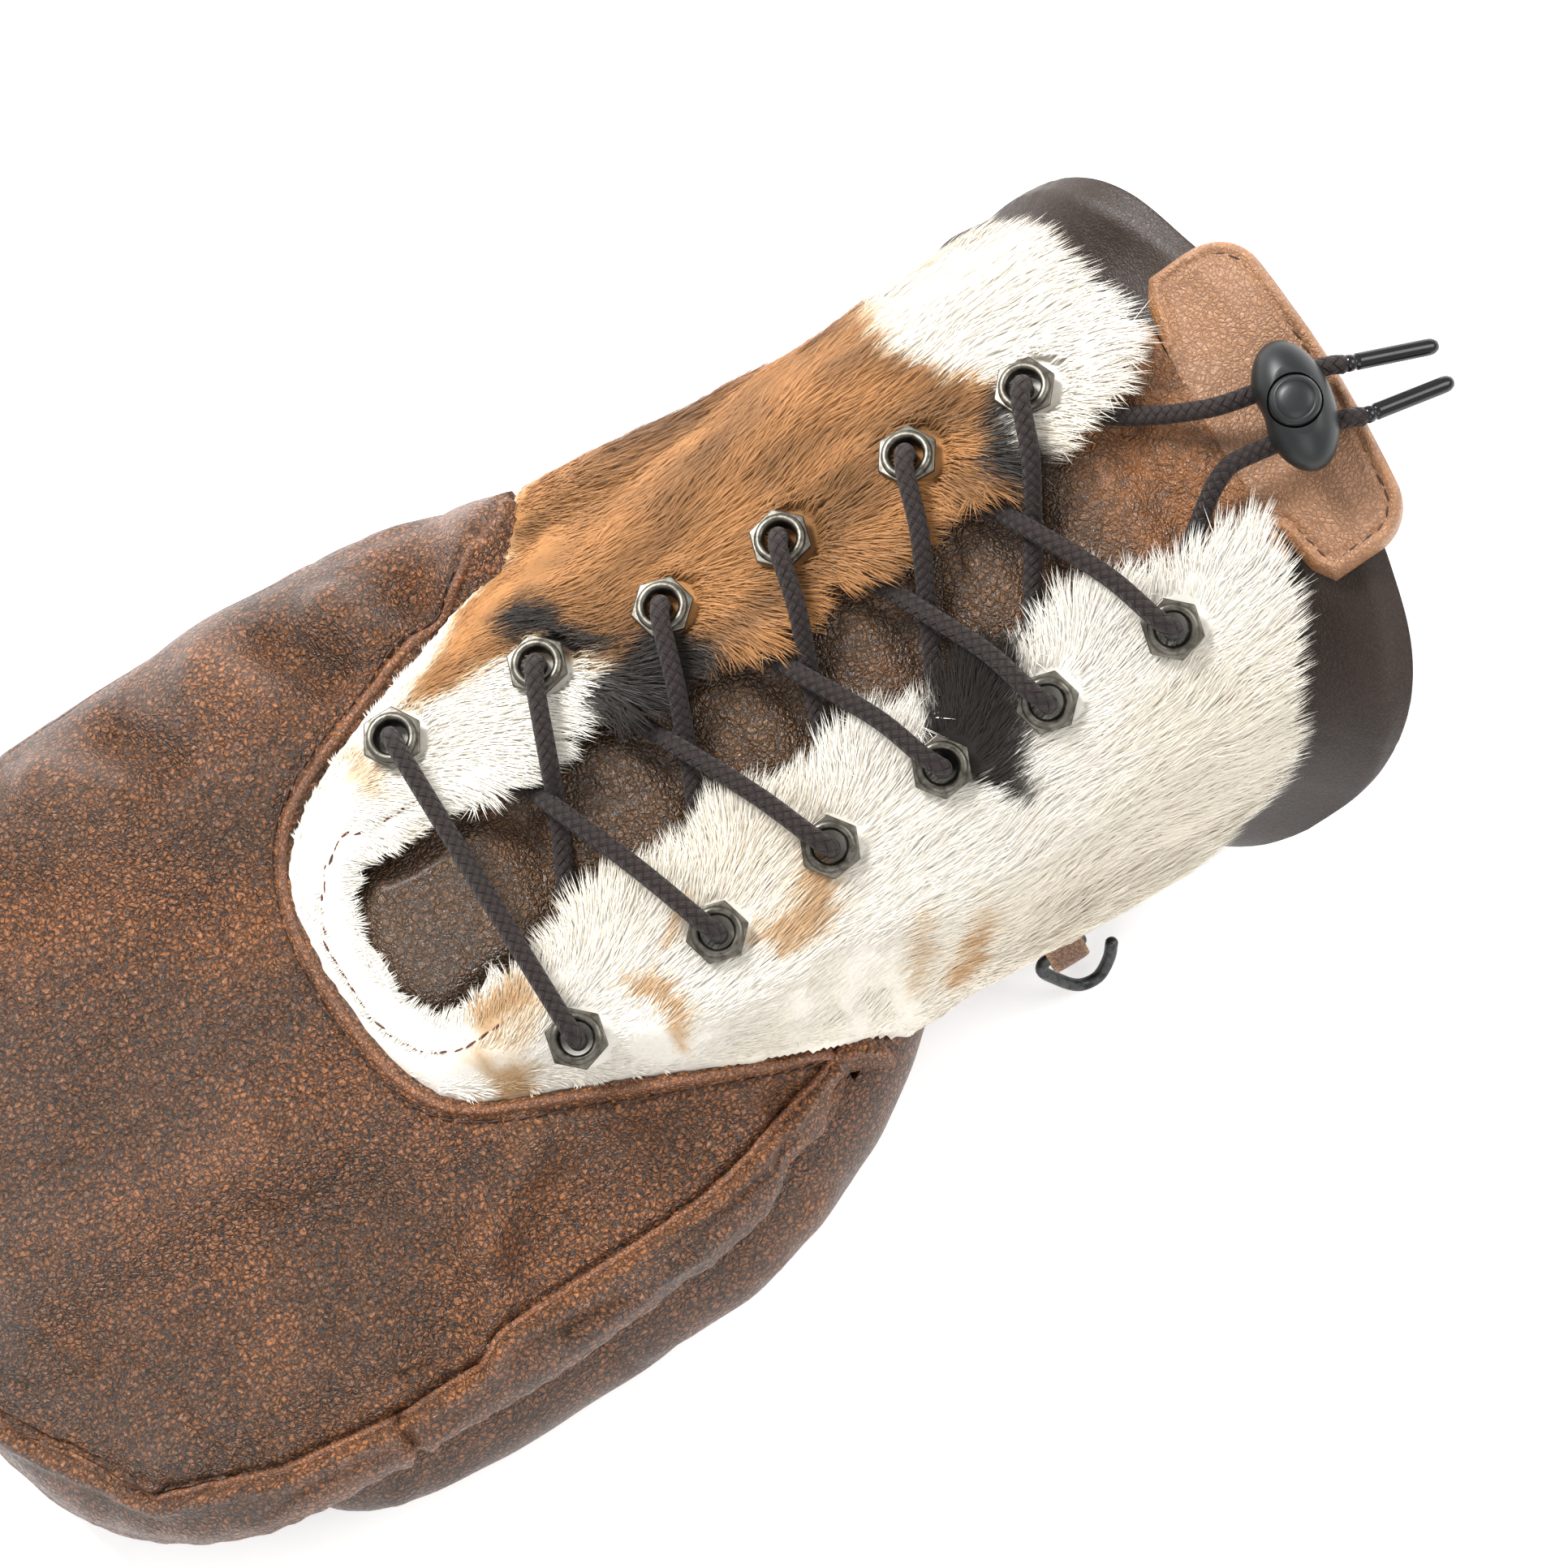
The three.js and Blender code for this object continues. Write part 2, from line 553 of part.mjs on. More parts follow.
// The leather under an eyelet and the turn that lays its flange on the fur
function eyeletPlace(x, y) {
  const t = angleAt(x, y, HIDE_TOP);
  const normal = sectionNormal(x, t);
  normal.x = 0;
  normal.normalize();
  const head = skin(x, t, HIDE_TOP);
  const foot = head.clone().addScaledVector(normal, -HIDE_TOP);
  return { foot, normal, turn: new THREE.Quaternion().setFromUnitVectors(vector(0, 0, 1), normal) };
}

// A six-sided flange with a rolled round rim and a barrel down through the hide
function eyeletGeometry() {
  const corner = EYELET.acrossFlats / Math.sqrt(3);
  const flange = new THREE.CylinderGeometry(corner, corner, EYELET.flange, 6);
  flange.rotateX(Math.PI / 2).translate(0, 0, EYELET.flange / 2);
  const bore = new THREE.CylinderGeometry(EYELET.bore, EYELET.bore, 20, EYELET.sides);
  bore.rotateX(Math.PI / 2).rotateZ(Math.PI / EYELET.sides);
  const profile = [
    [0, -PELT], [EYELET.barrel, -PELT], [EYELET.barrel, 0.2],
    [EYELET.rim, EYELET.rimHeight * 0.6], [EYELET.rim - 0.5, EYELET.rimHeight], [0, EYELET.rimHeight],
  ].map(([r, z]) => new THREE.Vector2(r, z));
  const rim = new THREE.LatheGeometry(profile, EYELET.sides);
  rim.rotateX(Math.PI / 2).rotateZ(Math.PI / EYELET.sides);
  return toGeometry(toSolid(flange).add(toSolid(rim)).subtract(toSolid(bore)));
}

function addEyelets() {
  const geometry = eyeletGeometry();
  for (const [row, places] of [["upper", EYELETS_UPPER], ["lower", EYELETS_LOWER]]) {
    places.forEach(([x, y], i) => {
      const place = eyeletPlace(x, y);
      const mesh = addPiece(`eyelet_${row}_${i + 1}`, geometry, "nickel");
      mesh.quaternion.copy(place.turn);
      mesh.position.copy(place.foot).addScaledVector(place.normal, HIDE_TOP + GAP);
    });
  }
}

// Where two lines in plan cross, each given by two points
function crossing(a, b, c, d) {
  const [rx, ry, sx, sy] = [b[0] - a[0], b[1] - a[1], d[0] - c[0], d[1] - c[1]];
  const along = ((c[0] - a[0]) * sy - (c[1] - a[1]) * sx) / (rx * sy - ry * sx);
  return [a[0] + along * rx, a[1] + along * ry];
}

// The lace's stretch down through one eyelet, from the side it comes from to the side it leaves by
function throughEyelet(eyelet, from, to) {
  const place = eyeletPlace(...eyelet);
  const flat = (target) => {
    const way = vector(target[0] - eyelet[0], target[1] - eyelet[1], 0);
    return way.addScaledVector(place.normal, -way.dot(place.normal)).normalize();
  };
  const at = (offset, way, reach) => place.foot.clone().addScaledVector(place.normal, offset)
    .addScaledVector(way, reach);
  const [back, on] = [flat(from), flat(to)];
  return [
    at(LACE.rim, back, LACE.reach), at(LACE.rim - 1.3, back, 0.3),
    at(LACE.under + 1.0, on, 0.1), at(LACE.under, on, 2.6),
  ];
}

// One strand from an eyelet of the first pair to the last, its rows taking turns
function strand(startsUpper) {
  const rows = [EYELETS_UPPER, EYELETS_LOWER];
  const outs = [LACE_OUT_UPPER, LACE_OUT_LOWER];
  const first = startsUpper ? 0 : 1;
  const points = [];
  for (let k = 0; k < 6; k += 1) {
    const side = (first + k) % 2;
    const other = 1 - side;
    const eyelet = rows[side][k];
    const from = k === 0 ? rows[other][0] : outs[other][k - 1];
    const out = outs[side][k];
    points.push(...throughEyelet(eyelet, from, out));
    points.push(above(out[0], out[1], LACE.edge));
    if (k < 5) {
      const next = rows[other][k + 1];
      const cross = crossing(out, next, outs[other][k], rows[side][k + 1]);
      points.push(above(cross[0], cross[1], side === 0 ? LACE.high : LACE.low));
      const edgeY = other === 0 ? LACE.overUpperY : LACE.overLowerY;
      const edge = crossing(out, next, [0, edgeY], [1, edgeY]);
      points.push(above(edge[0], edge[1], LACE.over));
    }
  }
  return points;
}

// Places on the cord lock, in its own axes, turned and set on the tab
function lockPlace() {
  const seat = above(LOCK.x, LOCK.y, GAP + TAB_LEATHER + GAP).z + 0.35;
  return new THREE.Matrix4().makeRotationZ(THREE.MathUtils.degToRad(LOCK.turn))
    .setPosition(LOCK.x, LOCK.y, seat);
}

// A curve whose points in order are the steps of the sweep
class Route extends THREE.Curve {
  constructor(points) {
    super();
    this.points = points;
  }

  getPoint(u) {
    const last = this.points.length - 1;
    const place = Math.min(last, Math.max(0, u * last));
    const i = Math.min(last - 1, Math.floor(place));
    return this.points[i].clone().lerp(this.points[i + 1], place - i);
  }

  getPointAt(u) {
    return this.getPoint(u);
  }

  getTangentAt(u) {
    const last = this.points.length - 1;
    const i = Math.round(u * last);
    const before = this.points[Math.max(0, i - 1)];
    const after = this.points[Math.min(last, i + 1)];
    const [into, out] = [this.points[i].clone().sub(before), after.clone().sub(this.points[i])];
    if (into.lengthSq() > 0) into.normalize();
    if (out.lengthSq() > 0) out.normalize();
    return into.add(out).normalize();
  }
}

function tube(points, radius, sides) {
  const circle = new THREE.Shape();
  for (let i = 0; i < sides; i += 1) {
    const angle = (2 * Math.PI * i) / sides;
    circle[i ? "lineTo" : "moveTo"](radius * Math.cos(angle), radius * Math.sin(angle));
  }
  return new THREE.ExtrudeGeometry(circle, { steps: points.length - 1, extrudePath: new Route(points) });
}

// A short rod between two points with a slightly rounded far end
function addAglet(name, from, to) {
  const r = AGLET.radius;
  const profile = [[0, 0], [r, 0], [r, AGLET.length - 1], [r * 0.6, AGLET.length], [0, AGLET.length]];
  const rod = new THREE.LatheGeometry(profile.map(([a, b]) => new THREE.Vector2(a, b)), 12);
  const mesh = addPiece(name, rod, "gloss");
  mesh.quaternion.setFromUnitVectors(vector(0, 1, 0), to.clone().sub(from).normalize());
  mesh.position.copy(from);
}

function laceEnds() {
  const place = lockPlace();
  const at = (x, y, z) => vector(x, y, z).applyMatrix4(place);
  const ends = [1, -1].map((side) => {
    const y = side * LOCK.holeY;
    const inbound = [at(-13, y + side * 0.6, LOCK.holeZ - 1.2), at(-9, y, LOCK.holeZ), at(7.2, y, LOCK.holeZ)];
    const stub = at(9.2, y - 0.5, LOCK.holeZ - 0.5);
    const way = side > 0 ? at(24, y - 2.0, LOCK.holeZ - 5.5) : at(25.5, y + 0.6, LOCK.holeZ - 5.5);
    return { inbound, stub, way };
  });
  return ends;
}

// The whole lace, from its lower end round both strands to its upper end
function lacePoints() {
  const [upperEnd, lowerEnd] = laceEnds();
  return [
    lowerEnd.stub, ...lowerEnd.inbound.slice().reverse(), ...strand(true).reverse(),
    ...strand(false), ...upperEnd.inbound, upperEnd.stub,
  ];
}

function addLace() {
  const [upperEnd, lowerEnd] = laceEnds();
  addPiece("lace", tube(lacePoints(), LACE.radius, LACE.sides), "lace");
  for (const [name, end] of [["aglet_upper", upperEnd], ["aglet_lower", lowerEnd]]) {
    const way = end.way.clone().sub(end.stub).normalize();
    const start = end.stub.clone().addScaledVector(way, 0.55);
    addAglet(name, start, start.clone().addScaledVector(way, AGLET.length));
  }
}

// The cord lock

function addLock() {
  const bean = new THREE.SphereGeometry(1, LOCK.sides, 8);
  bean.rotateX(Math.PI / 2);
  bean.scale(LOCK.width / 2, LOCK.length / 2, LOCK.height / 2);
  bean.translate(0, 0, LOCK.height / 2);
  let body = toSolid(bean);
  const flat = new THREE.BoxGeometry(60, 60, 10).translate(0, 0, LOCK.height + 5 - 0.9);
  const foot = new THREE.BoxGeometry(60, 60, 10).translate(0, 0, -5 + 0.35);
  body = body.subtract(toSolid(flat)).subtract(toSolid(foot));
  for (const side of [1, -1]) {
    const hole = new THREE.CylinderGeometry(LACE.radius + GAP + 0.1, LACE.radius + GAP + 0.1, 40, 8);
    hole.rotateZ(Math.PI / 2);
    hole.translate(0, side * LOCK.holeY, LOCK.holeZ);
    body = body.subtract(toSolid(hole));
  }
  const recess = new THREE.CylinderGeometry(2.4, 2.4, 5, 8);
  recess.translate(-LOCK.width / 2 - 0.6, 0, LOCK.holeZ + 1.4);
  const well = new THREE.CylinderGeometry(BUTTON.radius + GAP, BUTTON.radius + GAP, 20, LOCK.sides);
  well.rotateX(Math.PI / 2);
  well.translate(0, 0, BUTTON.floor + 10);
  body = body.subtract(toSolid(recess)).subtract(toSolid(well));
  const mesh = addPiece("cord_lock_body", toGeometry(mainBody(body)), "lock");
  mesh.applyMatrix4(lockPlace());
  const r = BUTTON.radius;
  const base = BUTTON.floor + GAP + BUTTON.travel;
  const top = LOCK.height - 0.9;
  const profile = [
    [0, base], [r, base], [r, top], [r * 0.86, top + BUTTON.crown * 0.55],
    [r * 0.5, top + BUTTON.crown * 0.9], [0, top + BUTTON.crown],
  ];
  const button = new THREE.LatheGeometry(profile.map(([a, b]) => new THREE.Vector2(a, b)), LOCK.sides);
  button.rotateX(Math.PI / 2);
  const cap = addPiece("cord_lock_button", button, "lock");
  cap.applyMatrix4(lockPlace());
}

// The strap and its hook

function hookPlace() {
  return new THREE.Matrix4().makeRotationX(THREE.MathUtils.degToRad(-HOOK.lean))
    .setPosition(HOOK.x, HOOK.y, HOOK.z);
}

function addHook() {
  const half = HOOK.width / 2;
  const top = HOOK.height / 2;
  const route = [
    [half * 0.35, top], [-half * 0.75, top], [-half, top * 0.72], [-half * 0.8, 0.1], [-half * 0.28, -top * 0.9],
    [half * 0.2, -top], [half * 0.72, -top * 0.5], [half, top * 0.1],
  ].map(([x, z]) => vector(x, 0, z));
  const mesh = addPiece("hook", tube(route, HOOK.wire, 8), "steel");
  mesh.applyMatrix4(hookPlace());
}

// The strap's loop and its two plies, from the side, as thick as it is or grown by a margin
function strapGeometry(margin) {
  const inner = STRAP.innerRadius;
  const outer = inner + STRAP.thick + margin;
  const ply = STRAP.thick + margin;
  const outline = new THREE.Shape();
  outline.moveTo(-ply, STRAP.tail + margin);
  outline.lineTo(-ply, outer * 1.5);
  outline.lineTo(-outer, 0);
  outline.absarc(0, 0, outer, Math.PI, 2 * Math.PI, false);
  outline.lineTo(ply, outer * 1.5);
  outline.lineTo(ply, STRAP.tail + margin);
  if (margin === 0) {
    const eye = new THREE.Path();
    eye.absarc(0, 0, inner, 0, 2 * Math.PI, true);
    outline.holes.push(eye);
  }
  const depth = STRAP.width + 2 * margin;
  const band = new THREE.ExtrudeGeometry(outline, { depth, bevelEnabled: false, curveSegments: 5 });
  band.translate(0, 0, -depth / 2);
  band.rotateX(Math.PI / 2);
  band.rotateZ(Math.PI / 2);
  band.rotateX(THREE.MathUtils.degToRad(-STRAP.lean));
  const seat = vector(-1.2, 0, HOOK.height / 2).applyMatrix4(hookPlace());
  return band.translate(seat.x, seat.y, seat.z);
}

function addStrap() {
  addPiece("hook_strap", strapGeometry(0), "leather");
}

addPanels();
addTongue();
addFur();
addEyelets();
addLace();
addLock();
addHook();
addStrap();

export default mitten;
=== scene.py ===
"""Looks of a brown leather lace-up mitten for the right hand, lying palm down.

Lengths in the classes are millimetres in the hand's own frame: +X runs from the
fingertips to the cuff, +Y is the little finger side and +Z is up. They become the
frame's metres where a mesh is laid.
"""

from __future__ import annotations

import logging
import math
from dataclasses import dataclass, field
from enum import Enum

import bpy
import numpy as np
from mathutils import Matrix, Vector

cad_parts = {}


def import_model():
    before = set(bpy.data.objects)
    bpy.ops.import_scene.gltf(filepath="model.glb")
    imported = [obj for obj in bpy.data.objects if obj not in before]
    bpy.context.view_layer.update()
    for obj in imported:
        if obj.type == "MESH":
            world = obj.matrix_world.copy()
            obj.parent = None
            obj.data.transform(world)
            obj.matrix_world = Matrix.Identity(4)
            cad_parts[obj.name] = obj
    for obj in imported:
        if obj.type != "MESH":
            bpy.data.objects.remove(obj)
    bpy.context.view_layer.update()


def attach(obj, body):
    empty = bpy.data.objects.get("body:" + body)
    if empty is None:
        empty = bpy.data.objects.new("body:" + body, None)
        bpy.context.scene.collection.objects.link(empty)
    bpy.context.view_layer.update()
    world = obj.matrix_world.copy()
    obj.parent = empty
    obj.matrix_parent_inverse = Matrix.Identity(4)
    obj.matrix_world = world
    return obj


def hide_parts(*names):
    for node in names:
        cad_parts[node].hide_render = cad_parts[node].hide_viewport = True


LOG = logging.getLogger("mitten")
MM = 0.001
ORIGIN = (17.6, 0.25, 0.0)
BODY = "mitten"
BUTTON_BODY = "lock_button"
GAP = 0.3
LEATHER = 2.6
THUMB_LEATHER = 2.2
TAB_LEATHER = 3.3
PELT = 3.4
PELT_LIFT = 6.4
HIDE_TOP = PELT + PELT_LIFT
PHOTO_MIDDLE = (695, 1150)
PHOTO_PIXELS = 8
PHOTO_SHIFT = -8
PHOTO_COS, PHOTO_SIN = 0.857, 0.515
Looks = dict[str, bpy.types.Material]
Socket = bpy.types.NodeSocket


# Numbers and lines


def smooth(value: np.ndarray | float) -> np.ndarray:
    """Eases a value from 0 to 1.

    Args:
        value: numbers, taken as 0 below 0 and as 1 above 1.

    Returns:
        The eased numbers.
    """
    s = np.clip(value, 0.0, 1.0)
    return s * s * (3 - 2 * s)


def bell(value: np.ndarray, middle: float, width: float) -> np.ndarray:
    """A hump that is one where the value is at its middle."""
    return np.exp(-((value - middle) / width) ** 2)


def unit(vectors: np.ndarray) -> np.ndarray:
    """Scales vectors to length one.

    Args:
        vectors: vectors along the last axis.

    Returns:
        The unit vectors.
    """
    return vectors / np.maximum(np.linalg.norm(vectors, axis=-1, keepdims=True), 1e-9)


def power(value: np.ndarray, exponent: float) -> np.ndarray:
    """Raises numbers to a power and keeps their sign.

    Args:
        value: numbers of either sign.
        exponent: the power.

    Returns:
        The signed powers.
    """
    return np.sign(value) * np.abs(value) ** exponent


def lumps(points: np.ndarray, size: float, seed: int) -> np.ndarray:
    """Smooth lattice noise from -1 to 1, the same on each run.

    Args:
        points: places, with three numbers along the last axis.
        size: how far apart the lumps lie, in the points' own unit.
        seed: which pattern.

    Returns:
        One number for each place.
    """
    scaled = points / size
    base = np.floor(scaled).astype(np.int64)
    part = scaled - base
    part = part * part * (3 - 2 * part)
    total = np.zeros(points.shape[:-1])
    for corner in range(8):
        step = np.array([corner & 1, (corner >> 1) & 1, (corner >> 2) & 1])
        cell = base + step
        mixed = cell[..., 0] * 374761393 + cell[..., 1] * 668265263 + cell[..., 2] * 1442695041
        mixed = (mixed + seed * 974711) & 0xFFFFFFFF
        mixed = ((mixed ^ (mixed >> 13)) * 1274126177) & 0xFFFFFFFF
        mixed = (mixed ^ (mixed >> 16)) & 0xFFFF
        total += np.prod(np.where(step, part, 1 - part), axis=-1) * (mixed / 32767.5 - 1)
    return total


def rounded(line: np.ndarray, closed: bool, times: int = 3) -> np.ndarray:
    """Cuts a line's corners again and again.

    Args:
        line: the line's points.
        closed: whether its end meets its start.
        times: how often the corners are cut.

    Returns:
        The smoother line.
    """
    for _ in range(times):
        after = np.roll(line, -1, axis=0) if closed else line[1:]
        before = line if closed else line[:-1]
        pairs = np.stack([before * 0.75 + after * 0.25, before * 0.25 + after * 0.75], axis=1)
        middle = pairs.reshape(-1, line.shape[1])
        line = middle if closed else np.concatenate([line[:1], middle, line[-1:]])
    return line


def blend(at: np.ndarray, start: float, end: float, one: np.ndarray, other: np.ndarray) -> np.ndarray:
    """Runs from one value at the start to another at the end."""
    return (end - at) / (end - start) * one + (at - start) / (end - start) * other


def curve_through(points: np.ndarray, step: float) -> np.ndarray:
    """A smooth curve through points, in even steps.

    Args:
        points: the points that it passes.
        step: the distance between its own points.

    Returns:
        The curve's points.
    """
    ends = np.concatenate([[2 * points[0] - points[1]], points, [2 * points[-1] - points[-2]]])
    gaps = np.sqrt(np.maximum(np.linalg.norm(np.diff(ends, axis=0), axis=1), 1e-6))
    when = np.concatenate([[0], np.cumsum(gaps)])
    dense = []
    for i in range(1, len(ends) - 2):
        p, t = ends[i - 1:i + 3], when[i - 1:i + 3]
        s = np.linspace(t[1], t[2], 12, endpoint=False)[:, None]
        a = [blend(s, t[k], t[k + 1], p[k], p[k + 1]) for k in range(3)]
        b = [blend(s, t[k], t[k + 2], a[k], a[k + 1]) for k in range(2)]
        dense.append(blend(s, t[1], t[2], b[0], b[1]))
    dense = np.concatenate([*dense, points[-1:]])
    return even(dense, step)


def even(line: np.ndarray, step: float) -> np.ndarray:
    """Spaces a line's points evenly.

    Args:
        line: the line's points.
        step: about how far apart the new ones lie.

    Returns:
        The evenly spaced points.
    """
    run = np.concatenate([[0], np.cumsum(np.linalg.norm(np.diff(line, axis=0), axis=1))])
    places = np.linspace(0, run[-1], max(2, int(round(run[-1] / step)) + 1))
    return np.stack([np.interp(places, run, line[:, k]) for k in range(line.shape[1])], axis=1)


def nearest(points: np.ndarray, line: np.ndarray) -> tuple[np.ndarray, np.ndarray]:
    """How far points lie from a line of closely set points, and which of those is nearest.

    Args:
        points: places, any number of axes before the last.
        line: the line's points.

    Returns:
        The distances and the indices.
    """
    flat = points.reshape(-1, points.shape[-1])
    distance = np.empty(len(flat))
    index = np.empty(len(flat), int)
    for start in range(0, len(flat), 16000):
        block = flat[start:start + 16000]
        square = (block ** 2).sum(1)[:, None] + (line ** 2).sum(1)[None] - 2 * block @ line.T
        index[start:start + 16000] = square.argmin(1)
        distance[start:start + 16000] = np.sqrt(np.maximum(square.min(1), 0))
    return distance.reshape(points.shape[:-1]), index.reshape(points.shape[:-1])


def inside(points: np.ndarray, outline: np.ndarray) -> np.ndarray:
    """Whether plan places lie inside a closed outline.

    Args:
        points: places, x and y along the last axis.
        outline: the outline's corners.

    Returns:
        True for each place that lies inside.
    """
    x, y = points[..., 0], points[..., 1]
    result = np.zeros(x.shape, bool)
    for (x0, y0), (x1, y1) in zip(outline, np.roll(outline, -1, axis=0)):
        if y0 != y1:
            crosses = (y0 > y) != (y1 > y)
            result ^= crosses & (x < (x1 - x0) * (y - y0) / (y1 - y0) + x0)
    return result


def offset(line: np.ndarray, distance: float, closed: bool = False) -> np.ndarray:
    """A plan line moved sideways, to the left of its own way where the distance is positive."""
    ends = (np.roll(line, -1, axis=0) - np.roll(line, 1, axis=0)) if closed else np.gradient(line, axis=0)
    way = unit(ends)
    return line + np.stack([-way[:, 1], way[:, 0]], axis=1) * distance


def from_photo(px: np.ndarray | float, py: np.ndarray | float) -> tuple[np.ndarray, np.ndarray]:
    """A place of the photograph as millimetres in plan.

    Args:
        px: pixels from its left.
        py: pixels from its top.

    Returns:
        Plan x and y.
    """
    right, down = px - PHOTO_MIDDLE[0], py - PHOTO_MIDDLE[1]
    x = (right * PHOTO_COS - down * PHOTO_SIN) / PHOTO_PIXELS
    return x, (-right * PHOTO_SIN - down * PHOTO_COS) / PHOTO_PIXELS + PHOTO_SHIFT


# Meshes


def to_metres(points: np.ndarray) -> np.ndarray:
    """The hand's millimetres as the frame's metres."""
    return (points - np.array(ORIGIN)) * MM


def deselect() -> None:
    """Leaves edit mode and deselects every object."""
    if bpy.context.object and bpy.context.object.mode != "OBJECT":
        bpy.ops.object.mode_set(mode="OBJECT")
    bpy.ops.object.select_all(action="DESELECT")


def pick(piece: bpy.types.Object) -> None:
    """Makes one object the only one selected, and the active one."""
    deselect()
    piece.select_set(True)
    bpy.context.view_layer.objects.active = piece


def modify(piece: bpy.types.Object, kind: str, **settings: object) -> None:
    """Adds a modifier to a piece and applies it.

    Args:
        piece: the piece.
        kind: the modifier's type.
        **settings: its settings by name.
    """
    pick(piece)
    modifier = piece.modifiers.new(kind.title(), kind)
    for name, value in settings.items():
        setattr(modifier, name, value)
    bpy.ops.object.modifier_apply(modifier=modifier.name)


def bevel(piece: bpy.types.Object, width: float, segments: int, degrees: float) -> None:
    """Rounds the edges of a piece that are sharper than an angle."""
    sharp = {"limit_method": "ANGLE", "angle_limit": math.radians(degrees)}
    modify(piece, "BEVEL", width=width, segments=segments, **sharp)


def shade(piece: bpy.types.Object, degrees: float = 40.0) -> None:
    """Shades a piece smooth, apart from edges sharper than an angle."""
    pick(piece)
    bpy.ops.object.shade_smooth_by_angle(angle=math.radians(degrees))


def select_faces(piece: bpy.types.Object, chosen: np.ndarray) -> None:
    """Enters edit mode with the given faces selected.

    Args:
        piece: the piece.
        chosen: True for each face to select.
    """
    pick(piece)
    mesh = piece.data
    bpy.context.tool_settings.mesh_select_mode = (False, False, True)
    mesh.vertices.foreach_set("select", np.zeros(len(mesh.vertices), bool))
    mesh.edges.foreach_set("select", np.zeros(len(mesh.edges), bool))
    mesh.polygons.foreach_set("select", chosen)
    bpy.ops.object.mode_set(mode="EDIT")


def mend(piece: bpy.types.Object, recalculate: bool = True, threshold: float = 1e-6) -> None:
    """Merges a piece's doubled corners, and turns its faces outwards where asked.

    Args:
        piece: the piece.
        recalculate: whether the normals are made to agree.
        threshold: how near two corners are one.
    """
    pick(piece)
    bpy.ops.object.mode_set(mode="EDIT")
    bpy.ops.mesh.select_all(action="SELECT")
    bpy.ops.mesh.remove_doubles(threshold=threshold)
    if recalculate:
        bpy.ops.mesh.normals_make_consistent(inside=False)
    bpy.ops.object.mode_set(mode="OBJECT")


def mark(piece: bpy.types.Object, name: str, values: np.ndarray) -> None:
    """Writes numbers or colours to a piece's corners.

    Args:
        piece: the piece.
        name: the attribute's name.
        values: one number, or three, for each corner.
    """
    if values.shape[-1:] == (3,):
        colours = np.concatenate([values.reshape(-1, 3), np.ones((values.size // 3, 1))], axis=1)
        attribute = piece.data.attributes.new(name, "FLOAT_COLOR", "POINT")
        attribute.data.foreach_set("color", colours.astype(np.float32).ravel())
    else:
        attribute = piece.data.attributes.new(name, "FLOAT", "POINT")
        attribute.data.foreach_set("value", values.astype(np.float32).ravel())


def lay_grid(
    name: str,
    points: np.ndarray,
    keep: np.ndarray | None = None,
    marks: dict[str, np.ndarray] | None = None,
    turned: bool = False,
    pattern: tuple[float, float] | None = None,
) -> bpy.types.Object:
    """Adds a grid, lays it on rows of points and cuts away the cells that aren't kept.

    Args:
        name: the piece's name.
        points: rows and columns of places in millimetres.
        keep: True for each cell that stays.
        marks: numbers or colours for its corners, by name.
        turned: whether the faces point the other way.
        pattern: how long and how wide the whole is in its UV map.

    Returns:
        The piece, with its wrapped edges and poles merged.
    """
    rows, columns = points.shape[:2]
    deselect()
    bpy.ops.mesh.primitive_grid_add(x_subdivisions=columns - 1, y_subdivisions=rows - 1, size=1.0)
    piece = bpy.context.object
    piece.name = name
    mesh = piece.data
    mesh.name = name
    mesh.vertices.foreach_set("co", to_metres(points).astype(np.float32).ravel())
    for key, values in (marks or {}).items():
        mark(piece, key, values)
    corners = np.empty(len(mesh.loops), int)
    mesh.loops.foreach_get("vertex_index", corners)
    if pattern is not None:
        row, column = np.divmod(corners, columns)
        uv = np.stack([row / (rows - 1) * pattern[0], column / (columns - 1) * pattern[1]], axis=1)
        mesh.uv_layers[0].data.foreach_set("uv", uv.astype(np.float32).ravel())
    if keep is not None:
        row, column = np.divmod(corners.reshape(-1, 4).min(1), columns)
        select_faces(piece, ~keep[row, column])
        bpy.ops.mesh.delete(type="FACE")
        bpy.ops.object.mode_set(mode="OBJECT")
    mend(piece, recalculate=False)
    if turned:
        mesh.flip_normals()
    return piece


def frames_along(line: np.ndarray) -> tuple[np.ndarray, np.ndarray, np.ndarray]:
    """Directions along a line that turn as little as they can.

    Args:
        line: the line's points.

    Returns:
        The tangents and two directions across, at each point.
    """
    tangent = unit(np.gradient(line, axis=0))
    side = np.empty_like(line)
    start = np.array([0.0, 0.0, 1.0]) if abs(tangent[0][2]) < 0.9 else np.array([0.0, 1.0, 0.0])
    side[0] = unit(start - tangent[0] * (start @ tangent[0]))
    for i in range(1, len(line)):
        across = side[i - 1] - tangent[i] * (side[i - 1] @ tangent[i])
        side[i] = across / max(np.linalg.norm(across), 1e-9)
    return tangent, side, np.cross(tangent, side)


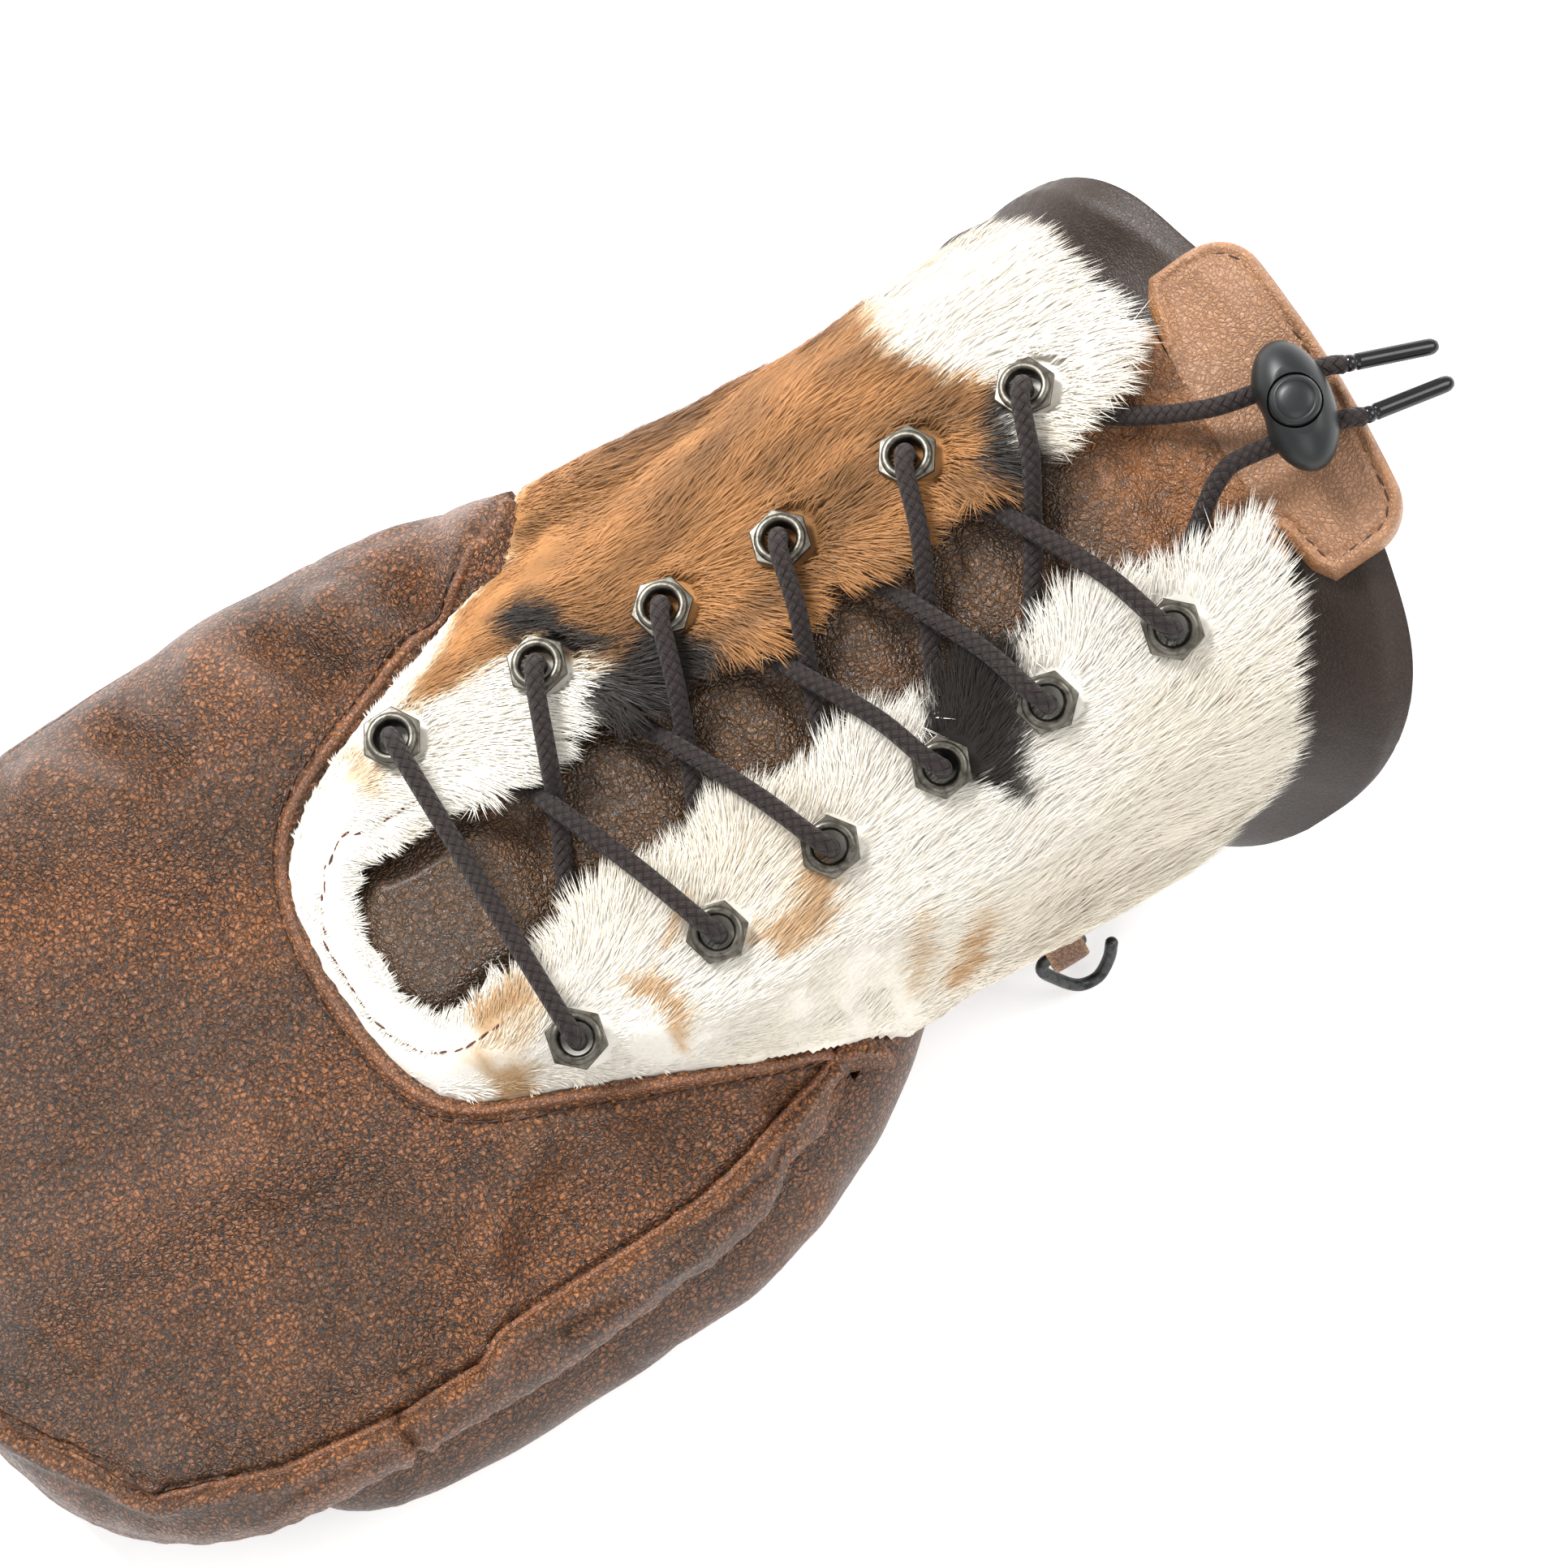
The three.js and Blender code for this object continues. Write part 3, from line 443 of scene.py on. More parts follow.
def sweep(
    name: str,
    line: np.ndarray,
    radius: float | np.ndarray,
    sides: int,
    pattern: bool = False,
) -> bpy.types.Object:
    """A round cord, wire or rod along a line, with rounded ends.

    Args:
        name: the piece's name.
        line: the line's points in millimetres.
        radius: its radius, or one for each point.
        sides: how many faces go round it.
        pattern: whether its UV map runs in millimetres.

    Returns:
        The piece.
    """
    radius = np.broadcast_to(np.asarray(radius, float), (len(line),))
    tangent, side, up = frames_along(line)
    turn = np.linspace(0, 2 * math.pi, sides + 1)
    ring = np.cos(turn)[None, :, None] * side[:, None] + np.sin(turn)[None, :, None] * up[:, None]
    rows = [line[:, None] + ring * radius[:, None, None]]
    for end, outward in ((0, -1.0), (-1, 1.0)):
        caps = [
            line[end] + outward * radius[end] * 0.6 * math.sin(a) * tangent[end]
            + ring[end] * radius[end] * math.cos(a)
            for a in (0.7, 1.2, math.pi / 2)
        ]
        if end == 0:
            rows.insert(0, np.array(caps[::-1]))
        else:
            rows.append(np.array(caps))
    points = np.concatenate(rows)
    size = (np.linalg.norm(np.diff(line, axis=0), axis=1).sum(), 1.0) if pattern else None
    return lay_grid(name, points, pattern=size)


def copies(name: str, master: bpy.types.Object, places: np.ndarray) -> bpy.types.Object:
    """Joins many copies of a small piece as one mesh and deletes the small piece.

    Args:
        name: the new piece's name.
        master: the small piece, in millimetres about its own middle.
        places: a 4 by 4 matrix in millimetres for each copy.

    Returns:
        The joined piece.
    """
    mesh = master.data
    corners = np.empty(len(mesh.vertices) * 3)
    mesh.vertices.foreach_get("co", corners)
    corners = corners.reshape(-1, 3)
    faces = [tuple(polygon.vertices) for polygon in mesh.polygons]
    spread = np.einsum("nij,vj->nvi", places[:, :3, :3], corners) + places[:, None, :3, 3]
    joined = bpy.data.meshes.new(name)
    every = [tuple(i + k * len(corners) for i in face) for k in range(len(places)) for face in faces]
    joined.from_pydata(to_metres(spread.reshape(-1, 3)).tolist(), [], every)
    piece = bpy.data.objects.new(name, joined)
    bpy.context.collection.objects.link(piece)
    bpy.data.objects.remove(master, do_unlink=True)
    shade(piece, 60)
    return piece


def seat(piece: bpy.types.Object, matrix: Matrix) -> None:
    """Moves a piece that was modelled in millimetres about the zero point into place.

    Args:
        piece: the piece.
        matrix: its place in the hand's millimetres.
    """
    shift = Matrix.Translation(-Vector(ORIGIN))
    piece.data.transform(Matrix.Scale(MM, 4) @ shift @ matrix)


def hand_over(
    piece: bpy.types.Object,
    look: bpy.types.Material,
    nodes: tuple[str, ...] = (),
    body: str = BODY,
) -> None:
    """Dresses a finished piece and gives it to the frame.

    Args:
        piece: the piece.
        look: its material.
        nodes: the solids that it stands for.
        body: the body that it rides on.
    """
    piece.data.materials.clear()
    piece.data.materials.append(look)
    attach(piece, body)
    if nodes:
        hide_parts(*nodes)
    LOG.info("%s: %d faces", piece.name, len(piece.data.polygons))


# The hand's form


class Column(Enum):
    """The columns of the sections' table."""

    OUTER = 1
    INNER = 2
    TOP = 3
    SIDE = 4
    NEST = 5


@dataclass(frozen=True)
class HandForm:
    """The outer surface of the hand and the gauntlet, by place along it and angle round it."""

    sections: tuple[tuple[float, ...], ...] = (
        (-124.6, 15, -13, 26, 18, 0), (-120, 31, -28, 33, 19, 0), (-111, 46, -42, 38.5, 21, 3),
        (-98, 57, -53, 43, 24, 21), (-84, 62, -59, 46.5, 27, 33), (-66, 64, -62, 50, 29, 36),
        (-45, 64.5, -62.5, 53, 30, 36.5), (-24, 65, -61.5, 55.5, 30, 36.5), (-6, 64, -60, 57, 30, 36),
        (8, 62, -57.5, 58, 31, 33), (20, 58.5, -53, 59, 31, 27), (32, 54, -46, 60, 32, 19),
        (46, 51, -41.5, 61, 33, 12), (62, 49, -40, 62.5, 34, 6), (80, 48, -40, 64.5, 35, 2),
        (96, 48.5, -40.5, 66, 36, 0), (110, 49, -41, 67.5, 37, 0), (124, 49.5, -41.5, 69, 38, 0),
        (137, 50, -42, 70, 38, 0), (152, 50, -42, 71, 38, 0),
    )
    folds: tuple[tuple[float, ...], ...] = (
        (14, -52, 6, 14, 3.2, 2.0), (26, -48, 5, 12, 3.0, 2.2), (35, -44, 3, 9, 2.8, 1.6),
        (10, 55, 12, 10, 4.0, 2.4), (-14, 52, 16, -8, 4.5, 1.8), (-60, 20, 22, 16, 7.0, 1.4),
    )
    top_roundness: float = 2.35
    sole_roundness: float = 3.4
    mouth_low: float = 88.0
    mouth_slope: float = 50 / 70
    lip_length: float = 17.0
    lip_flare: float = 8.0
    outer_swell: float = 4.2
    inner_swell: float = 1.5
    cuff_swell: float = 1.0
    tip_swell: float = 2.6
    tip_x: float = -126.0
    tip_y: float = 1.0
    tip_z: float = 19.0

    def column(self, name: Column, x: np.ndarray) -> np.ndarray:
        """A column of the table at x, through its rows by a smooth cubic.

        Args:
            name: which column.
            x: places along the hand.

        Returns:
            The column's value at each place.
        """
        table = np.array(self.sections)
        at, value = table[:, 0], table[:, name.value]
        rows = np.arange(len(at))
        low, high = np.maximum(rows - 1, 0), np.minimum(rows + 1, len(at) - 1)
        slope = (value[high] - value[low]) / (at[high] - at[low])
        i = np.clip(np.searchsorted(at, x, side="right") - 1, 0, len(at) - 2)
        span = at[i + 1] - at[i]
        s = np.clip((x - at[i]) / span, 0, 1)
        lead = 2 * s ** 3 - 3 * s ** 2 + 1
        bend = (s ** 3 - 2 * s ** 2 + s) * slope[i] + (s ** 3 - s ** 2) * slope[i + 1]
        return lead * value[i] + (1 - lead) * value[i + 1] + bend * span

    def underside(self, x: np.ndarray, y: np.ndarray) -> np.ndarray:
        """Height of the underside: nothing at the palm, lifted over the thumb."""
        return np.maximum(0, self.column(Column.NEST, x)) * smooth((1 - y) / 31)

    def side_height(self, x: np.ndarray, share: np.ndarray | float) -> np.ndarray:
        """Height of the widest point on the little finger side (0) or the thumb side (1)."""
        return self.column(Column.SIDE, x) + 0.42 * self.column(Column.NEST, x) * share

    def section(self, x: np.ndarray, t: np.ndarray) -> np.ndarray:
        """Places on the plain surface.

        Args:
            x: places along the hand.
            t: angles round it, from the little finger side over the crest.

        Returns:
            The places, three numbers along the last axis.
        """
        x, t = np.broadcast_arrays(np.asarray(x, float), np.asarray(t, float))
        outer, inner = self.column(Column.OUTER, x), self.column(Column.INNER, x)
        y = (outer + inner) / 2 + (outer - inner) / 2 * power(np.cos(t), 2 / self.top_roundness)
        side = self.side_height(x, (1 - np.cos(t)) / 2)
        up = np.sin(t)
        over = side + (self.column(Column.TOP, x) - side) * np.abs(up) ** (2 / self.top_roundness)
        floor = self.underside(x, y)
        drop = (side - floor) * np.abs(up) ** (2 / self.sole_roundness) + 1.6 * np.abs(up)
        z = np.where(up >= 0, over, np.maximum(floor, side - drop))
        beyond = np.clip((self.sections[0][0] - x) / (self.sections[0][0] - self.tip_x), 0, 1)
        shrink = np.sqrt(1 - beyond ** 2)
        y = self.tip_y + (y - self.tip_y) * shrink
        z = self.tip_z + (z - self.tip_z) * shrink
        return np.stack([x, y, z], axis=-1)

    def normal(self, x: np.ndarray, t: np.ndarray) -> np.ndarray:
        """The outward directions at places on the surface."""
        along = self.section(x + 0.5, t) - self.section(x - 0.5, t)
        around = self.section(x, t + 0.09) - self.section(x, t - 0.09)
        return unit(np.cross(around, along))

    def push(self, point: np.ndarray, t: np.ndarray) -> np.ndarray:
        """How far the lip's flare, the folds and the soft sides' swell move the surface out.

        Args:
            point: places on the plain surface.
            t: their angles.

        Returns:
            The distances along the normals.
        """
        x, y, z = np.moveaxis(point, -1, 0)
        distance = self.mouth_low + self.mouth_slope * z - x
        near = np.clip(1 - distance / self.lip_length, 0, 1)
        share = 0.2 + 0.8 * np.abs(np.cos(t))
        flare = self.lip_flare * np.minimum(1.4, near ** 2) * share * smooth(z / 16)
        depth = np.zeros_like(x)
        for fold_x, fold_y, dx, dy, width, fold_depth in self.folds:
            length = math.hypot(dx, dy)
            ux, uy = dx / length, dy / length
            along = ((x - fold_x) * ux + (y - fold_y) * uy) / length
            across = ((y - fold_y) * ux - (x - fold_x) * uy) / width
            depth += fold_depth * np.exp(-along ** 2 - across ** 2)
        swell = self.outer_swell * smooth((np.cos(t) - 0.55) / 0.45)
        inner = self.inner_swell + self.cuff_swell * smooth((x - 30) / 30)
        inner += self.tip_swell * smooth((-70 - x) / 30)
        swell += inner * smooth((-np.cos(t) - 0.55) / 0.45)
        return flare - depth * smooth((z - 30) / 14) + swell * smooth((x - self.tip_x) / 16)

    def skin(self, x: np.ndarray, t: np.ndarray, offset: np.ndarray | float = 0.0) -> np.ndarray:
        """Places on the surface with its folds and flare, pushed out by an offset."""
        point = self.section(x, t)
        out = np.asarray(offset) + self.push(point, t)
        return point + self.normal(x, t) * out[..., None]

    def angle_at(self, x: np.ndarray, y: np.ndarray, offset: float = 0.0) -> np.ndarray:
        """The angles on the back at which the pushed out surface has the given y.

        Args:
            x: places along the hand.
            y: places across it.
            offset: how far the surface is pushed out.

        Returns:
            The angles.
        """
        x, y = np.broadcast_arrays(np.asarray(x, float), np.asarray(y, float))
        low, high = np.full(x.shape, 0.05), np.full(x.shape, math.pi - 0.05)
        for _ in range(26):
            middle = (low + high) / 2
            left = self.skin(x, middle, offset)[..., 1] > y
            low = np.where(left, middle, low)
            high = np.where(left, high, middle)
        return (low + high) / 2

    def above(self, x: np.ndarray, y: np.ndarray, offset: float) -> np.ndarray:
        """Places on the back at plan x and y, an offset above the leather."""
        x, y = np.broadcast_arrays(np.asarray(x, float), np.asarray(y, float))
        height = self.skin(x, self.angle_at(x, y, offset), offset)[..., 2]
        return np.stack([x, y, height], axis=-1)

    def angle_of_height(self, x: np.ndarray, z: np.ndarray, thumb_side: bool) -> np.ndarray:
        """The angles below the widest point at which a side wall has the given height.

        Args:
            x: places along the hand.
            z: heights.
            thumb_side: whether the wall is the thumb side's.

        Returns:
            The angles.
        """
        start = math.pi if thumb_side else 0.0
        turn = 1.0 if thumb_side else -1.0
        low, high = np.zeros(np.shape(x)), np.full(np.shape(x), 1.35)
        for _ in range(26):
            middle = (low + high) / 2
            higher = self.section(x, start + turn * middle)[..., 2] > z
            low = np.where(higher, middle, low)
            high = np.where(higher, high, middle)
        return start + turn * (low + high) / 2

    def holds(self, point: np.ndarray, margin: float) -> np.ndarray:
        """Whether places lie inside the hand by more than a margin."""
        x, y, z = np.moveaxis(point, -1, 0)
        outer, inner = self.column(Column.OUTER, x), self.column(Column.INNER, x)
        share = (y - (outer + inner) / 2) / ((outer - inner) / 2 - margin)
        turn = np.arccos(power(np.clip(share, -1, 1), self.top_roundness / 2))
        top = self.section(x, turn)[..., 2]
        floor = self.section(x, -turn)[..., 2]
        return (np.abs(share) < 1) & (z > floor + margin) & (z < top - margin)

    def mouth_x(self, t: np.ndarray, back: float = 0.0) -> np.ndarray:
        """Where along the hand the slanted mouth, or a line before it, lies at each angle."""
        x = np.full(np.shape(t), 110.0)
        for _ in range(30):
            x = self.mouth_low + self.mouth_slope * self.skin(x, t)[..., 2] - back
        return x


@dataclass(frozen=True)
class SeamLines:
    """The seams and edges of the mitten in plan."""

    fur_front: tuple[tuple[float, float], ...] = (
        (34, 80), (27, 52), (12.6, 46.5), (-0.1, 42.3), (-15.1, 36.6), (-24.9, 31.8), (-31.2, 26.2),
        (-34.6, 18), (-35.4, 7.5), (-34.6, -3.4), (-33.2, -11.3), (-30.4, -18.4), (-25, -23), (-11.4, -28.4),
        (11.7, -38), (32.6, -46), (48, -52), (56, -80),
    )
    slit: tuple[tuple[float, float], ...] = (
        (-28.6, 4), (-27.4, 12), (-23, 18), (-17, 16.6), (-9, 15.2), (7, 17.2), (23, 17), (50, 14.6),
        (88, 16.4), (104, 15), (113.5, 18.4), (121, 25), (130, 31), (165, 34), (165, -22), (134, -18),
        (124, -12.4), (103, -8), (70, -7), (38, -6.4), (3, -7), (-12.8, -8.2), (-22, -10.6), (-27, -6),
    )
    band_seam: tuple[tuple[float, float], ...] = (
        (-134, 10), (-124, -12), (-114, -29), (-99, -47.5), (-81.5, -54.6), (-60, -57.4), (-46, -57.2),
        (-40.7, -54.2), (-24, -54.4), (-3.5, -54.2), (5, -52.6), (20, -48.8), (34, -41), (60, -30),
    )
    cross_seam: float = -61.8
    eyelets_upper: tuple[tuple[float, float], ...] = (
        (-6.5, 31.6), (18.5, 29.3), (39.6, 26.6), (60.8, 25.8), (84.1, 26.3), (105, 25.6),
    )
    eyelets_lower: tuple[tuple[float, float], ...] = (
        (-5.8, -23.2), (20.9, -20.6), (42.4, -18.4), (63.9, -17), (82.7, -17.2), (104.9, -17.8),
    )

    def front_line(self) -> np.ndarray:
        """The fur's front edge in plan, in steps of a millimetre."""
        return even(rounded(np.array(self.fur_front, float), closed=False, times=3), 1.0)

    def front_x(self, y: np.ndarray) -> np.ndarray:
        """Where the fur's front edge lies at each y."""
        line = self.front_line()[::-1]
        return np.interp(y, line[:, 1], line[:, 0])

    def slit_line(self) -> np.ndarray:
        """The slit's outline in plan, with a lobe of each flap between its eyelets."""
        line = rounded(np.array(self.slit, float), closed=True, times=2)
        line = even(np.concatenate([line, line[:1]]), 1.0)[:-1]
        for row, side in ((self.eyelets_upper, 1.0), (self.eyelets_lower, -1.0)):
            at = np.array(row)[:, 0]
            phase = np.interp(line[:, 0], at, np.arange(len(at)))
            lobe = 1.5 * np.cos(2 * math.pi * phase) * smooth((line[:, 0] + 20) / 14)
            lobe *= smooth((114 - line[:, 0]) / 8)
            line[:, 1] += np.where(line[:, 1] * side > 4 * side, side * lobe, 0)
        return line

    def seam_y(self, x: np.ndarray) -> np.ndarray:
        """Where the band's seam lies at each x."""
        line = np.array(self.band_seam, float)
        return np.interp(x, line[:, 0], line[:, 1])


# Leather


@dataclass(frozen=True)
class Fold:
    """A soft ridge or hollow from one place of the photograph to another."""

    start: tuple[float, float]
    end: tuple[float, float]
    width: float
    height: float

    def rise(self, plan: np.ndarray) -> np.ndarray:
        """How far it lifts the leather at plan places."""
        start, end = np.array(from_photo(*self.start)), np.array(from_photo(*self.end))
        way = end - start
        share = np.clip(((plan - start) @ way) / (way @ way), 0, 1)
        away = np.linalg.norm(plan - start - share[..., None] * way, axis=-1)
        return self.height * np.exp(-(away / self.width) ** 2)


@dataclass
class LeatherShell:
    """The back, the bands, the palm, the cuff's wall and the thumb."""

    form: HandForm
    lines: SeamLines
    folds: tuple[Fold, ...] = (
        Fold((650, 1400), (590, 1520), 4.5, 3.2), Fold((590, 1520), (596, 1650), 4.0, 3.0),
        Fold((690, 1530), (1000, 1350), 10.0, -3.8), Fold((0, 1550), (300, 1410), 9.0, 2.4),
        Fold((300, 1410), (500, 1400), 8.0, 1.8), Fold((80, 1640), (430, 1480), 8.0, -2.6),
        Fold((180, 1770), (450, 1650), 6.0, 2.2), Fold((500, 1740), (570, 1600), 5.0, -1.6),
        Fold((0, 1100), (260, 1130), 8.0, -2.9), Fold((110, 1010), (300, 950), 9.0, 2.2),
        Fold((20, 950), (130, 965), 5.5, 3.8), Fold((240, 805), (330, 850), 6.5, 4.2),
        Fold((390, 730), (440, 765), 5.0, 3.8), Fold((560, 645), (590, 690), 5.0, 3.5),
        Fold((105, 880), (190, 930), 3.4, -3.5), Fold((310, 770), (390, 820), 3.6, -3.2),
        Fold((470, 690), (520, 740), 3.4, -3.2),
        Fold((1052, 1300), (1062, 1400), 1.5, -2.0), Fold((1078, 1290), (1092, 1390), 1.8, 2.0),
        Fold((1104, 1285), (1116, 1370), 1.4, -2.0), Fold((1128, 1280), (1140, 1350), 1.6, 1.8),
        Fold((780, 1602), (1030, 1435), 1.1, 1.1), Fold((690, 1640), (860, 1560), 1.2, -0.9),
        Fold((880, 1545), (1060, 1430), 1.2, -1.0),
    )
    back_columns: int = 184
    band_columns: int = 36
    palm_columns: int = 58
    cuff_rows: int = 46
    fold_x: float = 60.0
    under_fur: float = 8.0
    lip_ring: float = 20.0
    thumb_swell: float = 5.0
    seams: dict[str, np.ndarray] = field(default_factory=dict)

    def __post_init__(self) -> None:
        """Lays the seams' lines on the plain surface."""
        x = np.arange(-124.6, 47, 1.0)
        low, seam, high, _ = self.knots(x)
        self.seams["band"] = self.form.skin(x, seam)
        self.seams["outer"] = self.form.skin(x, low)
        self.seams["thumb"] = self.form.skin(x, high)
        front = self.lines.front_line()
        front = front[(front[:, 1] < 56) & (front[:, 1] > -50)]
        self.seams["fur"] = self.form.skin(front[:, 0], self.form.angle_at(front[:, 0], front[:, 1]))
        cross = np.linspace(0, 1, 30)
        at = int(np.argmin(np.abs(x - self.lines.cross_seam)))
        self.seams["cross"] = self.form.skin(np.full(30, x[at]), seam[at] + (high[at] - seam[at]) * cross)

    def knots(self, x: np.ndarray) -> tuple[np.ndarray, ...]:
        """The angles of the seams that run along the hand.

        Args:
            x: places along the hand.

        Returns:
            The palm seam on the little finger side, the band's seam, the palm seam on
            the thumb side, and the first again after a whole turn.
        """
        x = np.maximum(x, self.form.sections[0][0])
        low = self.form.angle_of_height(x, self.form.side_height(x, 0) * 0.5, thumb_side=False)
        high = self.form.angle_of_height(x, self.form.side_height(x, 1) - 3, thumb_side=True)
        seam = self.form.angle_at(x, self.lines.seam_y(x))
        return low, seam, high, low + 2 * math.pi

    def grid(self) -> tuple[np.ndarray, np.ndarray]:
        """Places along and angles round the whole shell, with a column on each seam."""
        tip = np.array([self.form.tip_x, -125.93, -125.6, -125.1])
        x = np.concatenate([
            tip, np.linspace(-124.6, self.lines.cross_seam, 66),
            np.linspace(self.lines.cross_seam, self.fold_x, 128)[1:],
        ])
        knots = self.knots(x)
        parts = []
        counts = (self.back_columns, self.band_columns, self.palm_columns)
        for start, end, count in zip(knots[:3], knots[1:], counts):
            share = np.linspace(0, 1, count, endpoint=False)
            parts.append(start[:, None] + (end - start)[:, None] * share)
        t = np.concatenate([*parts, knots[3][:, None]], axis=1)
        share = 1 - (1 - np.linspace(0, 1, self.cuff_rows + 1)[1:, None]) ** 1.25
        cuff = self.fold_x + (self.form.mouth_x(t[-1])[None] - self.fold_x) * share
        x = np.concatenate([np.repeat(x[:, None], t.shape[1], axis=1), cuff])
        t = np.concatenate([t, np.repeat(t[-1:], self.cuff_rows, axis=0)])
        return x, t

    def relief(self, point: np.ndarray) -> tuple[np.ndarray, np.ndarray]:
        """The leather's own relief over the plain surface, and how far it is rubbed.

        Args:
            point: places on the plain surface.

        Returns:
            Heights in millimetres, and wear from 0 to 1.
        """
        x, y, z = np.moveaxis(point, -1, 0)
        far = {name: nearest(point, line) for name, line in self.seams.items()}
        stretched = point * np.array([0.6, 1.0, 1.0])
        soft = lumps(point, 27, 3) * 0.8 + lumps(point, 12, 5) * 0.4
        fine = lumps(stretched, 4.6, 7) * 0.18 + lumps(point, 2.4, 9) * 0.07
        crease = np.maximum(0, 1 - np.abs(lumps(stretched, 15, 11)) * 9) * 0.45
        crease += np.maximum(0, 1 - np.abs(lumps(stretched, 7, 12)) * 7) * 0.18
        height = soft + fine - crease + sum(fold.rise(point[..., :2]) for fold in self.folds)
        band, along = far["band"]
        band = np.where(y > self.lines.seam_y(x), band, -band)
        pucker = np.cos(along * (2 * math.pi / 4.4)) * 0.3 * bell(band, 0, 3.4)
        height += 1.7 * bell(band, -2.2, 1.9) - 1.7 * bell(band, 0.2, 1.1) + pucker
        cross = far["cross"][0]
        height += 0.8 * bell(cross, 2.2, 1.3) - 1.5 * bell(cross, 0, 0.9)
        for name in ("outer", "thumb"):
            away, along = far[name]
            height += 0.7 * bell(away, 2.4, 1.6) - 1.6 * bell(away, 0, 0.9)
            height += np.cos(along * (2 * math.pi / 4.6)) * 0.25 * bell(away, 0, 3.0)
        fur, along = far["fur"]
        fur = np.where(x > self.lines.front_x(y), -fur, fur)
        height += 1.4 * smooth((9.0 - fur) / 6.5) * smooth((fur + 0.8) / 0.8) - 1.2 * smooth(-fur / 1.4)
        height += 0.5 * bell(fur, 1.6, 1.1) - 0.9 * bell(fur, 3.0, 0.8)
        height += np.cos(along * (2 * math.pi / 5.4)) * 0.18 * bell(fur, 3, 3.5)
        lip = 3.2 * smooth((x - 92) / 26) * smooth((y - 22) / 20) * smooth((z - 26) / 14)
        resting = smooth(z / 9)
        tip = smooth((x - self.form.tip_x) / 5)
        cuff = 1 - 0.75 * smooth((x - 60) / 30)
        worn = 0.75 * bell(fur, 1.4, 1.2) + 0.3 * bell(band, -1.6, 1.1)
        worn += 0.3 * bell(cross, 1.6, 1.2)
        worn += 0.2 * bell(far["thumb"][0], 1.6, 1.6)
        worn += 0.16 * smooth((height - 1.5) / 2.0) + 0.2 * smooth((lumps(point, 19, 21) - 0.1) / 0.6)
        return height * resting * tip * cuff - lip, np.clip(worn, 0, 1)

    def surface(self, x: np.ndarray, t: np.ndarray) -> tuple[np.ndarray, np.ndarray]:
        """Places on the leather with its relief, and their wear.

        Args:
            x: places along the hand.
            t: angles round it.

        Returns:
            The places and the wear.
        """
        point = self.form.skin(x, t)
        height, worn = self.relief(point)
        point = point + self.form.normal(x, t) * height[..., None]
        point[..., 2] = np.maximum(point[..., 2], 0.0)
        return point, worn

    def build(self, looks: Looks) -> None:
        """Makes the panels of the hand and the cuff's wall.

        Args:
            looks: the materials by name.
        """
        x, t = self.grid()
        points, worn = self.surface(x, t)
        points[0] = points[0].mean(axis=0)
        middle = (points[1:, 1:] + points[:-1, :-1]) / 2
        fur = middle[..., 0] > self.lines.front_x(middle[..., 1]) + self.under_fur
        to_mouth = self.form.mouth_low + self.form.mouth_slope * middle[..., 2] - middle[..., 0]
        lip = to_mouth < self.lip_ring
        columns = np.arange(middle.shape[1])
        back = columns < self.back_columns
        palm = columns >= self.back_columns + self.band_columns
        band = ~back & ~palm
        fingers = middle[..., 0] < self.lines.cross_seam
        hand = ~fur & ~lip
        hole = palm & self.thumb_inner(middle)
        panels = (
            ("back_leather", hand & back, "leather", "back_leather", "back_panel"),
            ("finger_side_band", hand & band & fingers, "leather", "band_leather", "finger_band"),
            ("wrist_side_band", hand & band & ~fingers, "leather", "band_leather", "wrist_band"),
            ("palm_leather", palm & ~lip & ~hole, "leather", "palm_leather", "palm_panel"),
            ("cuff_wall", (fur & ~palm) | lip, "lining", "lining_leather", "cuff_lining"),
        )
        for name, keep, look, slot, node in panels:
            used = np.flatnonzero(keep.any(axis=0))
            first, last = used[0], used[-1] + 2
            piece = lay_grid(
                name, points[:, first:last], keep[:, first:last - 1], {"worn": worn[:, first:last]},
            )
            self.thicken(piece, LEATHER)
            hand_over(piece, looks[look], (node,))

    def thicken(self, piece: bpy.types.Object, thick: float) -> None:
        """Gives a sheet of leather its thickness and a rounded cut edge."""
        modify(piece, "SOLIDIFY", thickness=thick * MM, offset=-1.0, use_even_offset=False)
        bevel(piece, 0.7 * MM, 2, 62)
        shade(piece, 55)

    # The thumb

    def thumb_column(self, index: int, x: np.ndarray) -> np.ndarray:
        """A column of the thumb's table at x, straight between its rows."""
        table = np.array(THUMB_ROWS)
        return np.interp(x, table[:, 0], table[:, index])

    def thumb_inner(self, point: np.ndarray) -> np.ndarray:
        """Whether places lie in the thumb's hollow."""
        x, y, z = np.moveaxis(point, -1, 0)
        centre, half = self.thumb_column(1, x), self.thumb_column(2, x) - THUMB_LEATHER
        low, high = self.thumb_column(3, x), self.thumb_column(4, x)
        tall = (high - low) / 2 - THUMB_LEATHER
        across = np.abs((y - centre) / half) ** 2.3 + np.abs((z - (high + low) / 2) / tall) ** 2.3
        return (across < 1) & (x > -84) & (x < 43)

